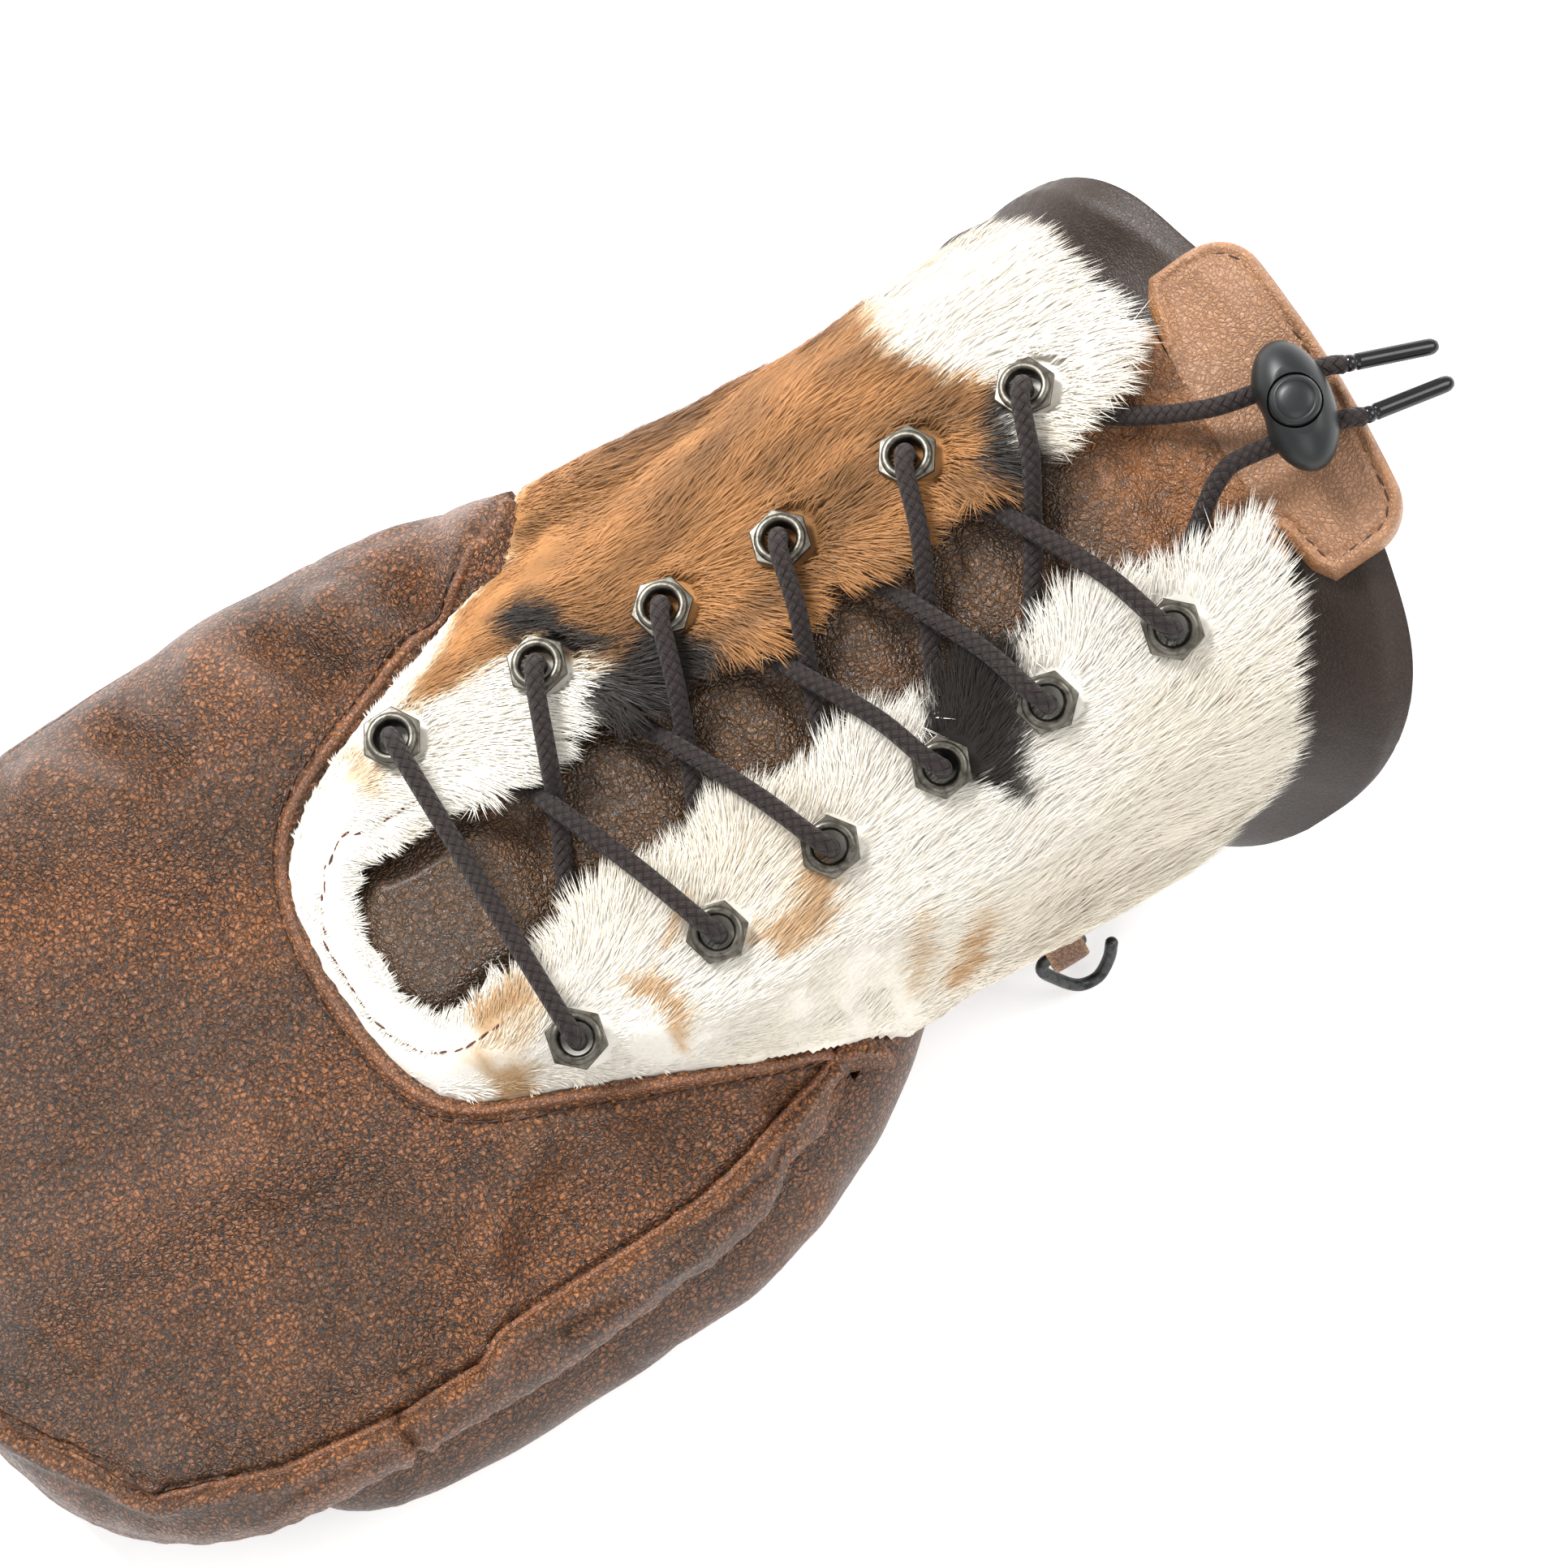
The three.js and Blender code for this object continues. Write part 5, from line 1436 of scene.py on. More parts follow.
@dataclass
class Lacing:
    """The eyelets, the braided lace and its tips."""

    form: HandForm
    lines: SeamLines
    out_upper: tuple[tuple[float, float], ...] = (
        (6.8, 14.4), (27, 13.2), (49, 12.2), (69, 13.4), (90, 13.6), (114.5, 14.6),
    )
    out_lower: tuple[tuple[float, float], ...] = (
        (2.6, -4.6), (26, -5.6), (49, -4.6), (69, -4.8), (87, -4.6), (114, -7.2),
    )
    radius: float = 1.5
    under: float = 4.25
    edge: float = 4.7
    low: float = 6.0
    high: float = 9.6
    over: float = 12.6
    rim: float = 14.1
    reach: float = 3.1
    across_flats: float = 8.8
    bore: float = 2.62
    barrel: float = 3.1
    tip_radius: float = 1.35
    plate: float = 0.9

    def eyelet_place(self, x: float, y: float) -> tuple[np.ndarray, np.ndarray]:
        """The leather under an eyelet and the way that its flange faces.

        Args:
            x: its place along the hand.
            y: its place across it.

        Returns:
            The foot on the leather and the direction.
        """
        t = self.form.angle_at(np.array([x]), np.array([y]), HIDE_TOP)
        normal = self.form.normal(np.array([x], float), t)[0]
        normal[0] = 0
        normal /= np.linalg.norm(normal)
        return self.form.skin(np.array([x], float), t, HIDE_TOP)[0] - normal * HIDE_TOP, normal

    def eyelet_master(self) -> bpy.types.Object:
        """One six-sided eyelet with a rolled rim, about its own seat, in millimetres."""
        deselect()
        bpy.ops.mesh.primitive_cylinder_add(
            vertices=6, radius=self.across_flats / math.sqrt(3), depth=self.plate,
            location=(0, 0, self.plate / 2),
        )
        plate = bpy.context.object
        bpy.ops.object.transform_apply(location=True)
        bevel(plate, 0.24, 3, 30)
        bpy.ops.mesh.primitive_cylinder_add(vertices=40, radius=self.bore + 0.2, depth=6)
        drill = bpy.context.object
        modify(plate, "BOOLEAN", operation="DIFFERENCE", object=drill, solver="EXACT")
        bpy.data.objects.remove(drill, do_unlink=True)
        turn = np.linspace(math.pi, 0, 9)
        profile = [(self.bore, -3.2)]
        profile += [(3.34 + 0.72 * math.cos(a), 0.98 + 0.62 * math.sin(a)) for a in turn]
        profile += [(4.0, 0.86), (self.barrel, 0.8), (self.barrel, -3.2)]
        rim = self.spun(profile, 40)
        pick(plate)
        rim.select_set(True)
        bpy.ops.object.join()
        return bpy.context.object

    def spun(self, profile: list[tuple[float, float]], steps: int) -> bpy.types.Object:
        """A closed profile spun round Z.

        Args:
            profile: radius and height of its corners, in order.
            steps: how many steps the spin takes.

        Returns:
            The ring.
        """
        deselect()
        bpy.ops.mesh.primitive_circle_add(vertices=len(profile), radius=1.0)
        ring = bpy.context.object
        corners = np.array([(r, 0.0, z) for r, z in profile], np.float32)
        ring.data.vertices.foreach_set("co", corners.ravel())
        bpy.ops.object.mode_set(mode="EDIT")
        bpy.ops.mesh.select_all(action="SELECT")
        bpy.ops.mesh.spin(steps=steps, angle=2 * math.pi, center=(0, 0, 0), axis=(0, 0, 1))
        bpy.ops.object.mode_set(mode="OBJECT")
        mend(ring, threshold=1e-4)
        return ring

    def build_eyelets(self, look: bpy.types.Material) -> None:
        """Sets the twelve eyelets, each turned a little its own way.

        Args:
            look: their metal.
        """
        master = self.eyelet_master()
        number = 0
        for row, places in (("upper", self.lines.eyelets_upper), ("lower", self.lines.eyelets_lower)):
            for i, (x, y) in enumerate(places):
                foot, normal = self.eyelet_place(x, y)
                eyelet = master.copy()
                eyelet.data = master.data.copy()
                eyelet.name = f"eyelet_{row}_{i + 1}_metal"
                bpy.context.collection.objects.link(eyelet)
                turn = Vector((0, 0, 1)).rotation_difference(Vector(normal)).to_matrix().to_4x4()
                spin = Matrix.Rotation(math.radians(31 + 17 * math.sin(number * 2.4)), 4, "Z")
                centre = Matrix.Translation(Vector(foot + normal * (HIDE_TOP + GAP)))
                seat(eyelet, centre @ turn @ spin)
                shade(eyelet, 38)
                hand_over(eyelet, look, (f"eyelet_{row}_{i + 1}",))
                number += 1
        bpy.data.objects.remove(master, do_unlink=True)

    def through(self, eyelet: tuple[float, float], back: np.ndarray, on: np.ndarray) -> list[np.ndarray]:
        """The lace's stretch down through one eyelet.

        Args:
            eyelet: the eyelet's place in plan.
            back: the plan place that the lace comes from.
            on: the plan place that it goes on to.

        Returns:
            Four points.
        """
        foot, normal = self.eyelet_place(*eyelet)

        def flat(target: np.ndarray) -> np.ndarray:
            """The way to a plan place, laid in the eyelet's plane."""
            way = np.array([target[0] - eyelet[0], target[1] - eyelet[1], 0.0])
            return unit(way - normal * (way @ normal))

        came, goes = flat(back), flat(on)
        return [
            foot + normal * self.rim + came * self.reach,
            foot + normal * (self.rim - 1.3) + came * 0.3,
            foot + normal * (self.under + 1.0) + goes * 0.1,
            foot + normal * self.under + goes * 2.6,
        ]

    def crossing(self, a: np.ndarray, b: np.ndarray, c: np.ndarray, d: np.ndarray) -> np.ndarray:
        """Where the plan line through a and b meets the one through c and d."""
        one, other, gap = np.subtract(b, a), np.subtract(d, c), np.subtract(c, a)
        along = (gap[0] * other[1] - gap[1] * other[0]) / (one[0] * other[1] - one[1] * other[0])
        return np.asarray(a, float) + along * one

    def strand(self, first: int) -> list[np.ndarray]:
        """One strand from an eyelet of the first pair to the last.

        Args:
            first: 0 where it starts in the upper row, 1 in the lower.

        Returns:
            Its points.
        """
        rows = (self.lines.eyelets_upper, self.lines.eyelets_lower)
        outs = (self.out_upper, self.out_lower)
        points = []
        for k in range(6):
            side = (first + k) % 2
            other = 1 - side
            came = rows[other][0] if k == 0 else outs[other][k - 1]
            out = outs[side][k]
            points += self.through(rows[side][k], came, out)
            points.append(self.form.above(out[0], out[1], self.edge))
            if k < 5:
                target = rows[other][k + 1]
                cross = self.crossing(out, target, outs[other][k], rows[side][k + 1])
                points.append(self.form.above(cross[0], cross[1], self.high if side == 0 else self.low))
                edge_y = 15.4 if other == 0 else -6.6
                edge = self.crossing(out, target, (0, edge_y), (1, edge_y))
                points.append(self.form.above(edge[0], edge[1], self.over))
        return points

    def ends(self, lock: Matrix) -> list[dict[str, list[np.ndarray]]]:
        """The lace's two ends through the lock.

        Args:
            lock: the lock's place.

        Returns:
            For the upper and the lower end, its points in, its stub and its way out.
        """

        def at(x: float, y: float, z: float) -> np.ndarray:
            """A place in the lock's own axes."""
            return np.array(lock @ Vector((x, y, z)))

        result = []
        for side in (1, -1):
            y = side * 4.3
            way = at(24, y - 2.0, -1.3) if side > 0 else at(25.5, y + 0.6, -1.3)
            result.append({
                "inbound": [at(-13, y + side * 0.6, 3.0), at(-9, y, 4.2), at(7.2, y, 4.2)],
                "stub": [at(9.2, y - 0.5, 3.7)],
                "way": [way],
            })
        return result

    def build_lace(self, looks: Looks, lock: Matrix) -> float:
        """Lays the lace along its route and puts its tips on.

        Args:
            looks: the materials by name.
            lock: the lock's place.

        Returns:
            The lace's length in millimetres.
        """
        upper, lower = self.ends(lock)
        points = lower["stub"] + lower["inbound"][::-1] + self.strand(0)[::-1] + self.strand(1)
        points += upper["inbound"] + upper["stub"]
        line = curve_through(np.array([np.ravel(p) for p in points]), 0.55)
        lace = sweep("braided_lace", line, self.radius, 18, pattern=True)
        shade(lace, 60)
        hand_over(lace, looks["lace"], ("lace",))
        for name, end in (("upper", upper), ("lower", lower)):
            way = unit(end["way"][0] - end["stub"][0])
            start = end["stub"][0] + way * 0.55
            collar = [0.0, 0.12, 0.5, 0.9, 1.1, 1.3, 1.5, 1.7, 2.1]
            places = np.concatenate([collar, np.linspace(3, 13.6, 9), [14.3, 14.7]])
            radius = np.full(len(places), self.tip_radius)
            radius[[0, 4, 5, 6]] = self.tip_radius * np.array([0.93, 0.9, 0.86, 0.9])
            radius[-2:] = self.tip_radius * np.array([0.94, 0.8])
            tip = sweep(f"lace_tip_{name}", start + places[:, None] * way, radius, 28)
            shade(tip, 60)
            hand_over(tip, looks["gloss"], (f"aglet_{name}",))
        return float(np.linalg.norm(np.diff(line, axis=0), axis=1).sum())


@dataclass
class CordLock:
    """The spring lock on the lace's ends."""

    form: HandForm
    x: float = 137.0
    y: float = 0.7
    turn: float = -11.0
    length: float = 21.0
    width: float = 12.0
    height: float = 12.4
    hole_y: float = 4.3
    hole_z: float = 4.2
    hole: float = 1.9
    button: float = 4.0
    floor: float = 6.7
    travel: float = 2.5
    crown: float = 0.9
    foot: float = 0.35
    clear: float = 0.35

    def place(self) -> Matrix:
        """The lock's place on the tab."""
        height = float(self.form.above(self.x, self.y, GAP + TAB_LEATHER + GAP)[2]) + self.clear
        return Matrix.Translation((self.x, self.y, height)) @ Matrix.Rotation(math.radians(self.turn), 4, "Z")

    def cut(
        self, body: bpy.types.Object, radius: float, depth: float, where: tuple[float, ...], along_x: bool,
    ) -> None:
        """Drills a hole in the lock's body.

        Args:
            body: the body.
            radius: the hole's radius.
            depth: the drill's length.
            where: the drill's middle.
            along_x: whether it runs along X and not along Z.
        """
        turn = (0, math.pi / 2, 0) if along_x else (0, 0, 0)
        deselect()
        bpy.ops.mesh.primitive_cylinder_add(
            vertices=36, radius=radius, depth=depth, location=where, rotation=turn,
        )
        drill = bpy.context.object
        modify(body, "BOOLEAN", operation="DIFFERENCE", object=drill, solver="EXACT")
        bpy.data.objects.remove(drill, do_unlink=True)

    def build(self, looks: Looks) -> None:
        """Makes the lock's body and its button.

        Args:
            looks: the materials by name.
        """
        deselect()
        bpy.ops.mesh.primitive_uv_sphere_add(segments=72, ring_count=40, radius=1.0)
        body = bpy.context.object
        body.name = "cord_lock_shell"
        corners = np.empty(len(body.data.vertices) * 3, np.float32)
        body.data.vertices.foreach_get("co", corners)
        shape = corners.reshape(-1, 3)
        across = 1 - 0.16 * bell(shape[:, 1], 0, 0.28) * (shape[:, 0] < 0)
        shape *= np.array([self.width / 2, self.length / 2, self.height / 2], np.float32)
        shape[:, 0] *= across
        shape[:, 2] += self.height / 2
        body.data.vertices.foreach_set("co", shape.ravel())
        bpy.ops.object.mode_set(mode="EDIT")
        for height, keep_below in ((self.height - self.crown, True), (self.foot, False)):
            bpy.ops.mesh.select_all(action="SELECT")
            bpy.ops.mesh.bisect(
                plane_co=(0, 0, height), plane_no=(0, 0, 1), use_fill=True,
                clear_outer=keep_below, clear_inner=not keep_below,
            )
        bpy.ops.object.mode_set(mode="OBJECT")
        for side in (1, -1):
            self.cut(body, self.hole, 40, (0, side * self.hole_y, self.hole_z), along_x=True)
        self.cut(body, self.button + GAP, 20, (0, 0, self.floor + 10), along_x=False)
        bevel(body, 0.3, 3, 34)
        seat(body, self.place())
        shade(body, 35)
        hand_over(body, looks["lock"], ("cord_lock_body",))
        self.build_button(looks["lock"])

    def build_button(self, look: bpy.types.Material) -> None:
        """Makes the button, crowned, with a shallow ring in its top.

        Args:
            look: its material.
        """
        base, top = self.floor + GAP + self.travel, self.height - self.crown
        deselect()
        bpy.ops.mesh.primitive_cylinder_add(
            vertices=56, radius=self.button, depth=top - base, location=(0, 0, (top + base) / 2),
            end_fill_type="NGON",
        )
        button = bpy.context.object
        button.name = "cord_lock_push_button"
        bpy.ops.object.transform_apply(location=True)
        for inset, rise in ((0.35, 0.62), (0.5, 0.38), (0.22, -0.22), (0.18, 0.22), (0.9, 0.26), (0.9, 0.14)):
            faces = np.array([
                p.normal.z > 0.9 and p.center.z > base + 0.5 and len(p.vertices) > 8
                for p in button.data.polygons
            ])
            select_faces(button, faces)
            bpy.ops.mesh.inset(thickness=inset, depth=0)
            bpy.ops.transform.translate(value=(0, 0, rise))
            bpy.ops.object.mode_set(mode="OBJECT")
        bevel(button, 0.12, 2, 40)
        seat(button, self.place())
        shade(button, 40)
        hand_over(button, look, ("cord_lock_button",), body=BUTTON_BODY)


@dataclass
class HookAndStrap:
    """The wire hook on the thumb side and the small strap that holds it."""

    x: float = 67.0
    y: float = -48.6
    z: float = 9.2
    lean: float = 26.0
    wire: float = 1.05
    strap_lean: float = 20.0
    strap_width: float = 6.5
    strap_thick: float = 1.3

    def place(self) -> Matrix:
        """The hook's place."""
        lean = Matrix.Rotation(math.radians(-self.lean), 4, "X")
        return Matrix.Translation((self.x, self.y, self.z)) @ lean

    def build(self, looks: Looks) -> None:
        """Makes the hook and its strap.

        Args:
            looks: the materials by name.
        """
        route = (
            (2.1, 6.5), (-4.5, 6.5), (-6, 4.7), (-4.8, 0.1), (-1.7, -5.85), (1.2, -6.5), (4.3, -3.25),
            (6, 0.65),
        )
        place = self.place()
        line = curve_through(np.array([place @ Vector((x, 0, z)) for x, z in route]), 0.45)
        hook = sweep("dark_wire_hook", line, self.wire, 18)
        shade(hook, 60)
        hand_over(hook, looks["hook"], ("hook",))
        path = np.array([
            (-0.68, 13.0), (-0.68, 9.0), (-0.8, 5.4), (-1.9, 1.9), (-2.25, 0), (-1.6, -1.6), (0, -2.25),
            (1.6, -1.6), (2.25, 0), (1.9, 1.9), (0.8, 5.4), (0.68, 9.0), (0.68, 13.0),
        ])
        path = curve_through(path, 0.5)
        tangent = unit(np.gradient(path, axis=0))
        out = np.stack([-tangent[:, 1], tangent[:, 0]], axis=1)
        turn = np.linspace(0, 2 * math.pi, 25)
        across = power(np.cos(turn), 0.35) * self.strap_width / 2
        thick = power(np.sin(turn), 0.6) * self.strap_thick / 2
        plane = path[:, None] + out[:, None] * thick[None, :, None]
        local = np.stack([np.broadcast_to(across, plane.shape[:2]), plane[..., 0], plane[..., 1]], axis=-1)
        lean = np.array(Matrix.Rotation(math.radians(-self.strap_lean), 3, "X"))
        points = local @ lean.T + np.array(place @ Vector((-1.2, 0, 6.5)))
        ends = [part.mean(axis=1, keepdims=True).repeat(25, axis=1) for part in (points[:1], points[-1:])]
        points = np.concatenate([ends[0], points, ends[1]])
        worn = np.broadcast_to(smooth((np.abs(across) - self.strap_width / 2 + 0.9) / 0.7), points.shape[:2])
        strap = lay_grid("hook_strap_loop", points, marks={"worn": worn}, turned=True)
        mend(strap)
        shade(strap, 50)
        hand_over(strap, looks["strap"], ("hook_strap",))


@dataclass
class Stitching:
    """Rows of thread stitches laid in the leather and the fur."""

    shell: LeatherShell
    pitch: float = 2.5
    length: float = 2.2
    width: float = 0.42
    height: float = 0.4
    fur_row: float = 3.0
    fur_edge: float = 1.2
    band_row: float = 2.6
    slit_row: float = 5.2
    tab_row: float = 2.4

    def row(
        self,
        name: str,
        points: np.ndarray,
        normals: np.ndarray,
        look: bpy.types.Material,
        slot: str,
        sink: float = 0.0,
    ) -> None:
        """Lays a row of stitches.

        Args:
            name: the piece's name.
            points: closely set places along the row, on the surface.
            normals: the ways out of the surface there.
            look: the thread's material.
            slot: a material slot's name; not used.
            sink: how deep the stitches lie.
        """
        run = np.concatenate([[0], np.cumsum(np.linalg.norm(np.diff(points, axis=0), axis=1))])
        count = max(2, int(run[-1] / self.pitch))
        at = np.linspace(0, run[-1], count)
        middle = np.stack([np.interp(at, run, points[:, k]) for k in range(3)], axis=1)
        out = unit(np.stack([np.interp(at, run, normals[:, k]) for k in range(3)], axis=1))
        along = unit(np.gradient(middle, axis=0))
        across = unit(np.cross(out, along))
        out = np.cross(along, across)
        places = np.zeros((count, 4, 4))
        places[:, :3, 0] = along * self.length / 2 + across * 0.12
        places[:, :3, 1] = across * self.width / 2
        places[:, :3, 2] = out * self.height / 2
        places[:, :3, 3] = middle - out * sink
        places[:, 3, 3] = 1
        deselect()
        bpy.ops.mesh.primitive_uv_sphere_add(segments=8, ring_count=5, radius=1.0)
        master = bpy.context.object
        master.data.transform(Matrix.Rotation(math.pi / 2, 4, "Y"))
        piece = copies(name, master, places)
        hand_over(piece, look)

    def on_leather(self, x: np.ndarray, t: np.ndarray) -> tuple[np.ndarray, np.ndarray]:
        """Places on the relieved leather and the ways out of it."""
        return self.shell.surface(x, t)[0], self.shell.form.normal(x, t)

    def beside_fur(self, distance: float) -> tuple[np.ndarray, np.ndarray]:
        """Places on the leather a distance before the fur's edge, and the ways out of it."""
        edge = offset(self.shell.lines.front_line(), -distance)
        edge = edge[(edge[:, 1] < 50) & (edge[:, 1] > -46)]
        return self.on_leather(edge[:, 0], self.shell.form.angle_at(edge[:, 0], edge[:, 1]))

    def turned_edge(
        self,
        name: str,
        line: np.ndarray,
        radius: float,
        look: bpy.types.Material,
    ) -> None:
        """Lays the turned edge of a panel as a thin roll."""
        roll = sweep(name, even(line, 0.8), radius, 12)
        shade(roll, 60)
        hand_over(roll, look)

    def build(self, looks: Looks, laid: dict[str, np.ndarray], tongue: Tongue) -> None:
        """Sews the seams that show.

        Args:
            looks: the materials by name.
            laid: the pelt's arrays.
            tongue: the tongue, for its tab.
        """
        form, lines = self.shell.form, self.shell.lines
        points, out = self.beside_fur(self.fur_row)
        self.row("fur_seam_stitches", points, out, looks["thread_dark"], "back_leather", sink=-0.4)
        points, out = self.beside_fur(self.fur_edge)
        self.turned_edge("fur_seam_turned_edge", points - out * 0.1, 0.75, looks["edge"])
        x = np.arange(-122, 30, 1.0)
        seam = self.shell.knots(x)[1]
        rate = np.linalg.norm(form.skin(x, seam - 0.02) - form.skin(x, seam), axis=1) / 0.02
        points, out = self.on_leather(x, seam - self.band_row / np.maximum(rate, 8))
        self.row("band_seam_stitches", points, out, looks["thread_red"], "band_leather", sink=0.22)
        points, out = self.on_leather(x, seam + 0.5 / np.maximum(rate, 8))
        self.turned_edge("band_seam_turned_edge", points - out * 0.35, 0.7, looks["edge"])
        slit = lines.slit_line()
        grown = offset(slit, self.slit_row, closed=True)
        start = int(np.argmax(grown[:, 0]))
        grown = np.roll(grown, -start, axis=0)
        grown = grown[grown[:, 0] < -8]
        plan = laid["plan"].reshape(-1, 2)
        at = nearest(grown, plan)[1]
        points = laid["top"].reshape(-1, 3)[at]
        points = rounded(points, closed=False, times=1)[::2]
        out = laid["normal"].reshape(-1, 3)[at]
        count = min(len(points), len(out))
        thread = looks["thread_red"]
        self.row("fur_band_stitches", points[:count], out[:count], thread, "calico_fur", sink=-0.1)
        inner = offset(tongue.tab_outline(), self.tab_row)
        inner = inner[inner[:, 0] > tongue.tab_x[0] + 3.4]
        inner = inner[np.argsort(np.arctan2(inner[:, 1] - 3.8, inner[:, 0] - 131.0))]
        points = form.above(inner[:, 0], inner[:, 1], GAP + TAB_LEATHER - 0.55)
        out = np.tile(np.array([0.0, 0.0, 1.0]), (len(points), 1))
        self.row("tab_stitches", points, out, looks["thread_dark"], "tab_leather", sink=0.1)


# Materials


def linear(red: float, green: float, blue: float) -> tuple[float, float, float, float]:
    """A colour given as on a screen, 0 to 255, in linear light.

    Args:
        red: its red.
        green: its green.
        blue: its blue.

    Returns:
        The colour with full alpha.
    """
    parts = [c / 255 for c in (red, green, blue)]
    return (*[c / 12.92 if c <= 0.04045 else ((c + 0.055) / 1.055) ** 2.4 for c in parts], 1.0)


class Bench:
    """A material's nodes, with short ways to add and join them."""

    def __init__(self, name: str) -> None:
        """Starts a material with its shader.

        Args:
            name: the material's name.
        """
        self.material = bpy.data.materials.new(name)
        self.material.use_nodes = True
        self.nodes = self.material.node_tree.nodes
        self.shader = self.nodes["Principled BSDF"]
        coordinates = self.nodes.new("ShaderNodeTexCoord")
        inputs = {0: coordinates.outputs["Object"], "Scale": 1 / MM}
        self.place = self.add("ShaderNodeVectorMath", {"operation": "SCALE"}, inputs).outputs[0]

    def add(self, kind: str, settings: dict[str, object], inputs: dict[object, object]) -> bpy.types.Node:
        """Adds a node.

        Args:
            kind: the node's type.
            settings: its settings by name.
            inputs: numbers, colours or other nodes' outputs, by input.

        Returns:
            The node.
        """
        node = self.nodes.new(kind)
        for name, value in settings.items():
            setattr(node, name, value)
        for name, value in inputs.items():
            self.join(value, node.inputs[name])
        return node

    def join(self, value: object, socket: Socket) -> None:
        """Links an output to a socket, or sets the socket's own value."""
        if isinstance(value, Socket):
            self.material.node_tree.links.new(value, socket)
        else:
            socket.default_value = value

    def math(self, operation: str, one: object, other: object = 0.0, clamp: bool = False) -> Socket:
        """A sum of two numbers."""
        settings = {"operation": operation, "use_clamp": clamp}
        return self.add("ShaderNodeMath", settings, {0: one, 1: other}).outputs[0]

    def noise(self, scale: float, detail: float = 3.0, rough: float = 0.5) -> Socket:
        """Noise over the piece, about 0.5, its scale in lumps per millimetre."""
        inputs = {"Vector": self.place, "Scale": scale, "Detail": detail, "Roughness": rough}
        return self.add("ShaderNodeTexNoise", {}, inputs).outputs["Fac"]

    def ramp(self, value: object, low: float, high: float) -> Socket:
        """Maps a number from low..high to 0..1, eased."""
        settings = {"interpolation_type": "SMOOTHSTEP"}
        inputs = {"Value": value, "From Min": low, "From Max": high}
        return self.add("ShaderNodeMapRange", settings, inputs).outputs["Result"]

    def spread(self, value: object, low: float, high: float) -> Socket:
        """Maps a number from 0..1 to low..high."""
        inputs = {"Value": value, "To Min": low, "To Max": high}
        return self.add("ShaderNodeMapRange", {}, inputs).outputs["Result"]

    def mix(self, share: object, one: object, other: object, blend: str = "MIX") -> Socket:
        """Mixes two colours by a share."""
        settings = {"data_type": "RGBA", "blend_type": blend}
        return self.add("ShaderNodeMix", settings, {0: share, 6: one, 7: other}).outputs[2]

    def attribute(self, name: str, output: str) -> Socket:
        """A number or colour that the piece's corners carry."""
        return self.add("ShaderNodeAttribute", {"attribute_name": name}, {}).outputs[output]

    def bump(self, height: object, strength: float, depth_mm: float) -> Socket:
        """Raises the surface by a height."""
        inputs = {"Height": height, "Strength": strength, "Distance": depth_mm * MM}
        return self.add("ShaderNodeBump", {}, inputs).outputs["Normal"]

    def cells(self, place: Socket, scale: float) -> Socket:
        """How far each place lies from the edge of its cell, with cells all over."""
        inputs = {"Vector": place, "Scale": scale}
        return self.add("ShaderNodeTexVoronoi", {"feature": "DISTANCE_TO_EDGE"}, inputs).outputs["Distance"]

    def finish(
        self,
        colour: object,
        roughness: object,
        normal: object = None,
        metallic: float = 0.0,
        **fixed: float,
    ) -> bpy.types.Material:
        """Joins the shader and returns the material.

        Args:
            colour: the base colour.
            roughness: the roughness.
            normal: the bumped normal.
            metallic: 1 on bare metal.
            **fixed: other shader values that are the same all over, by socket.

        Returns:
            The material.
        """
        self.join(colour, self.shader.inputs["Base Color"])
        self.join(roughness, self.shader.inputs["Roughness"])
        self.shader.inputs["Metallic"].default_value = metallic
        for name, value in fixed.items():
            self.shader.inputs[name.replace("_", " ")].default_value = value
        if normal is not None:
            self.join(normal, self.shader.inputs["Normal"])
        return self.material


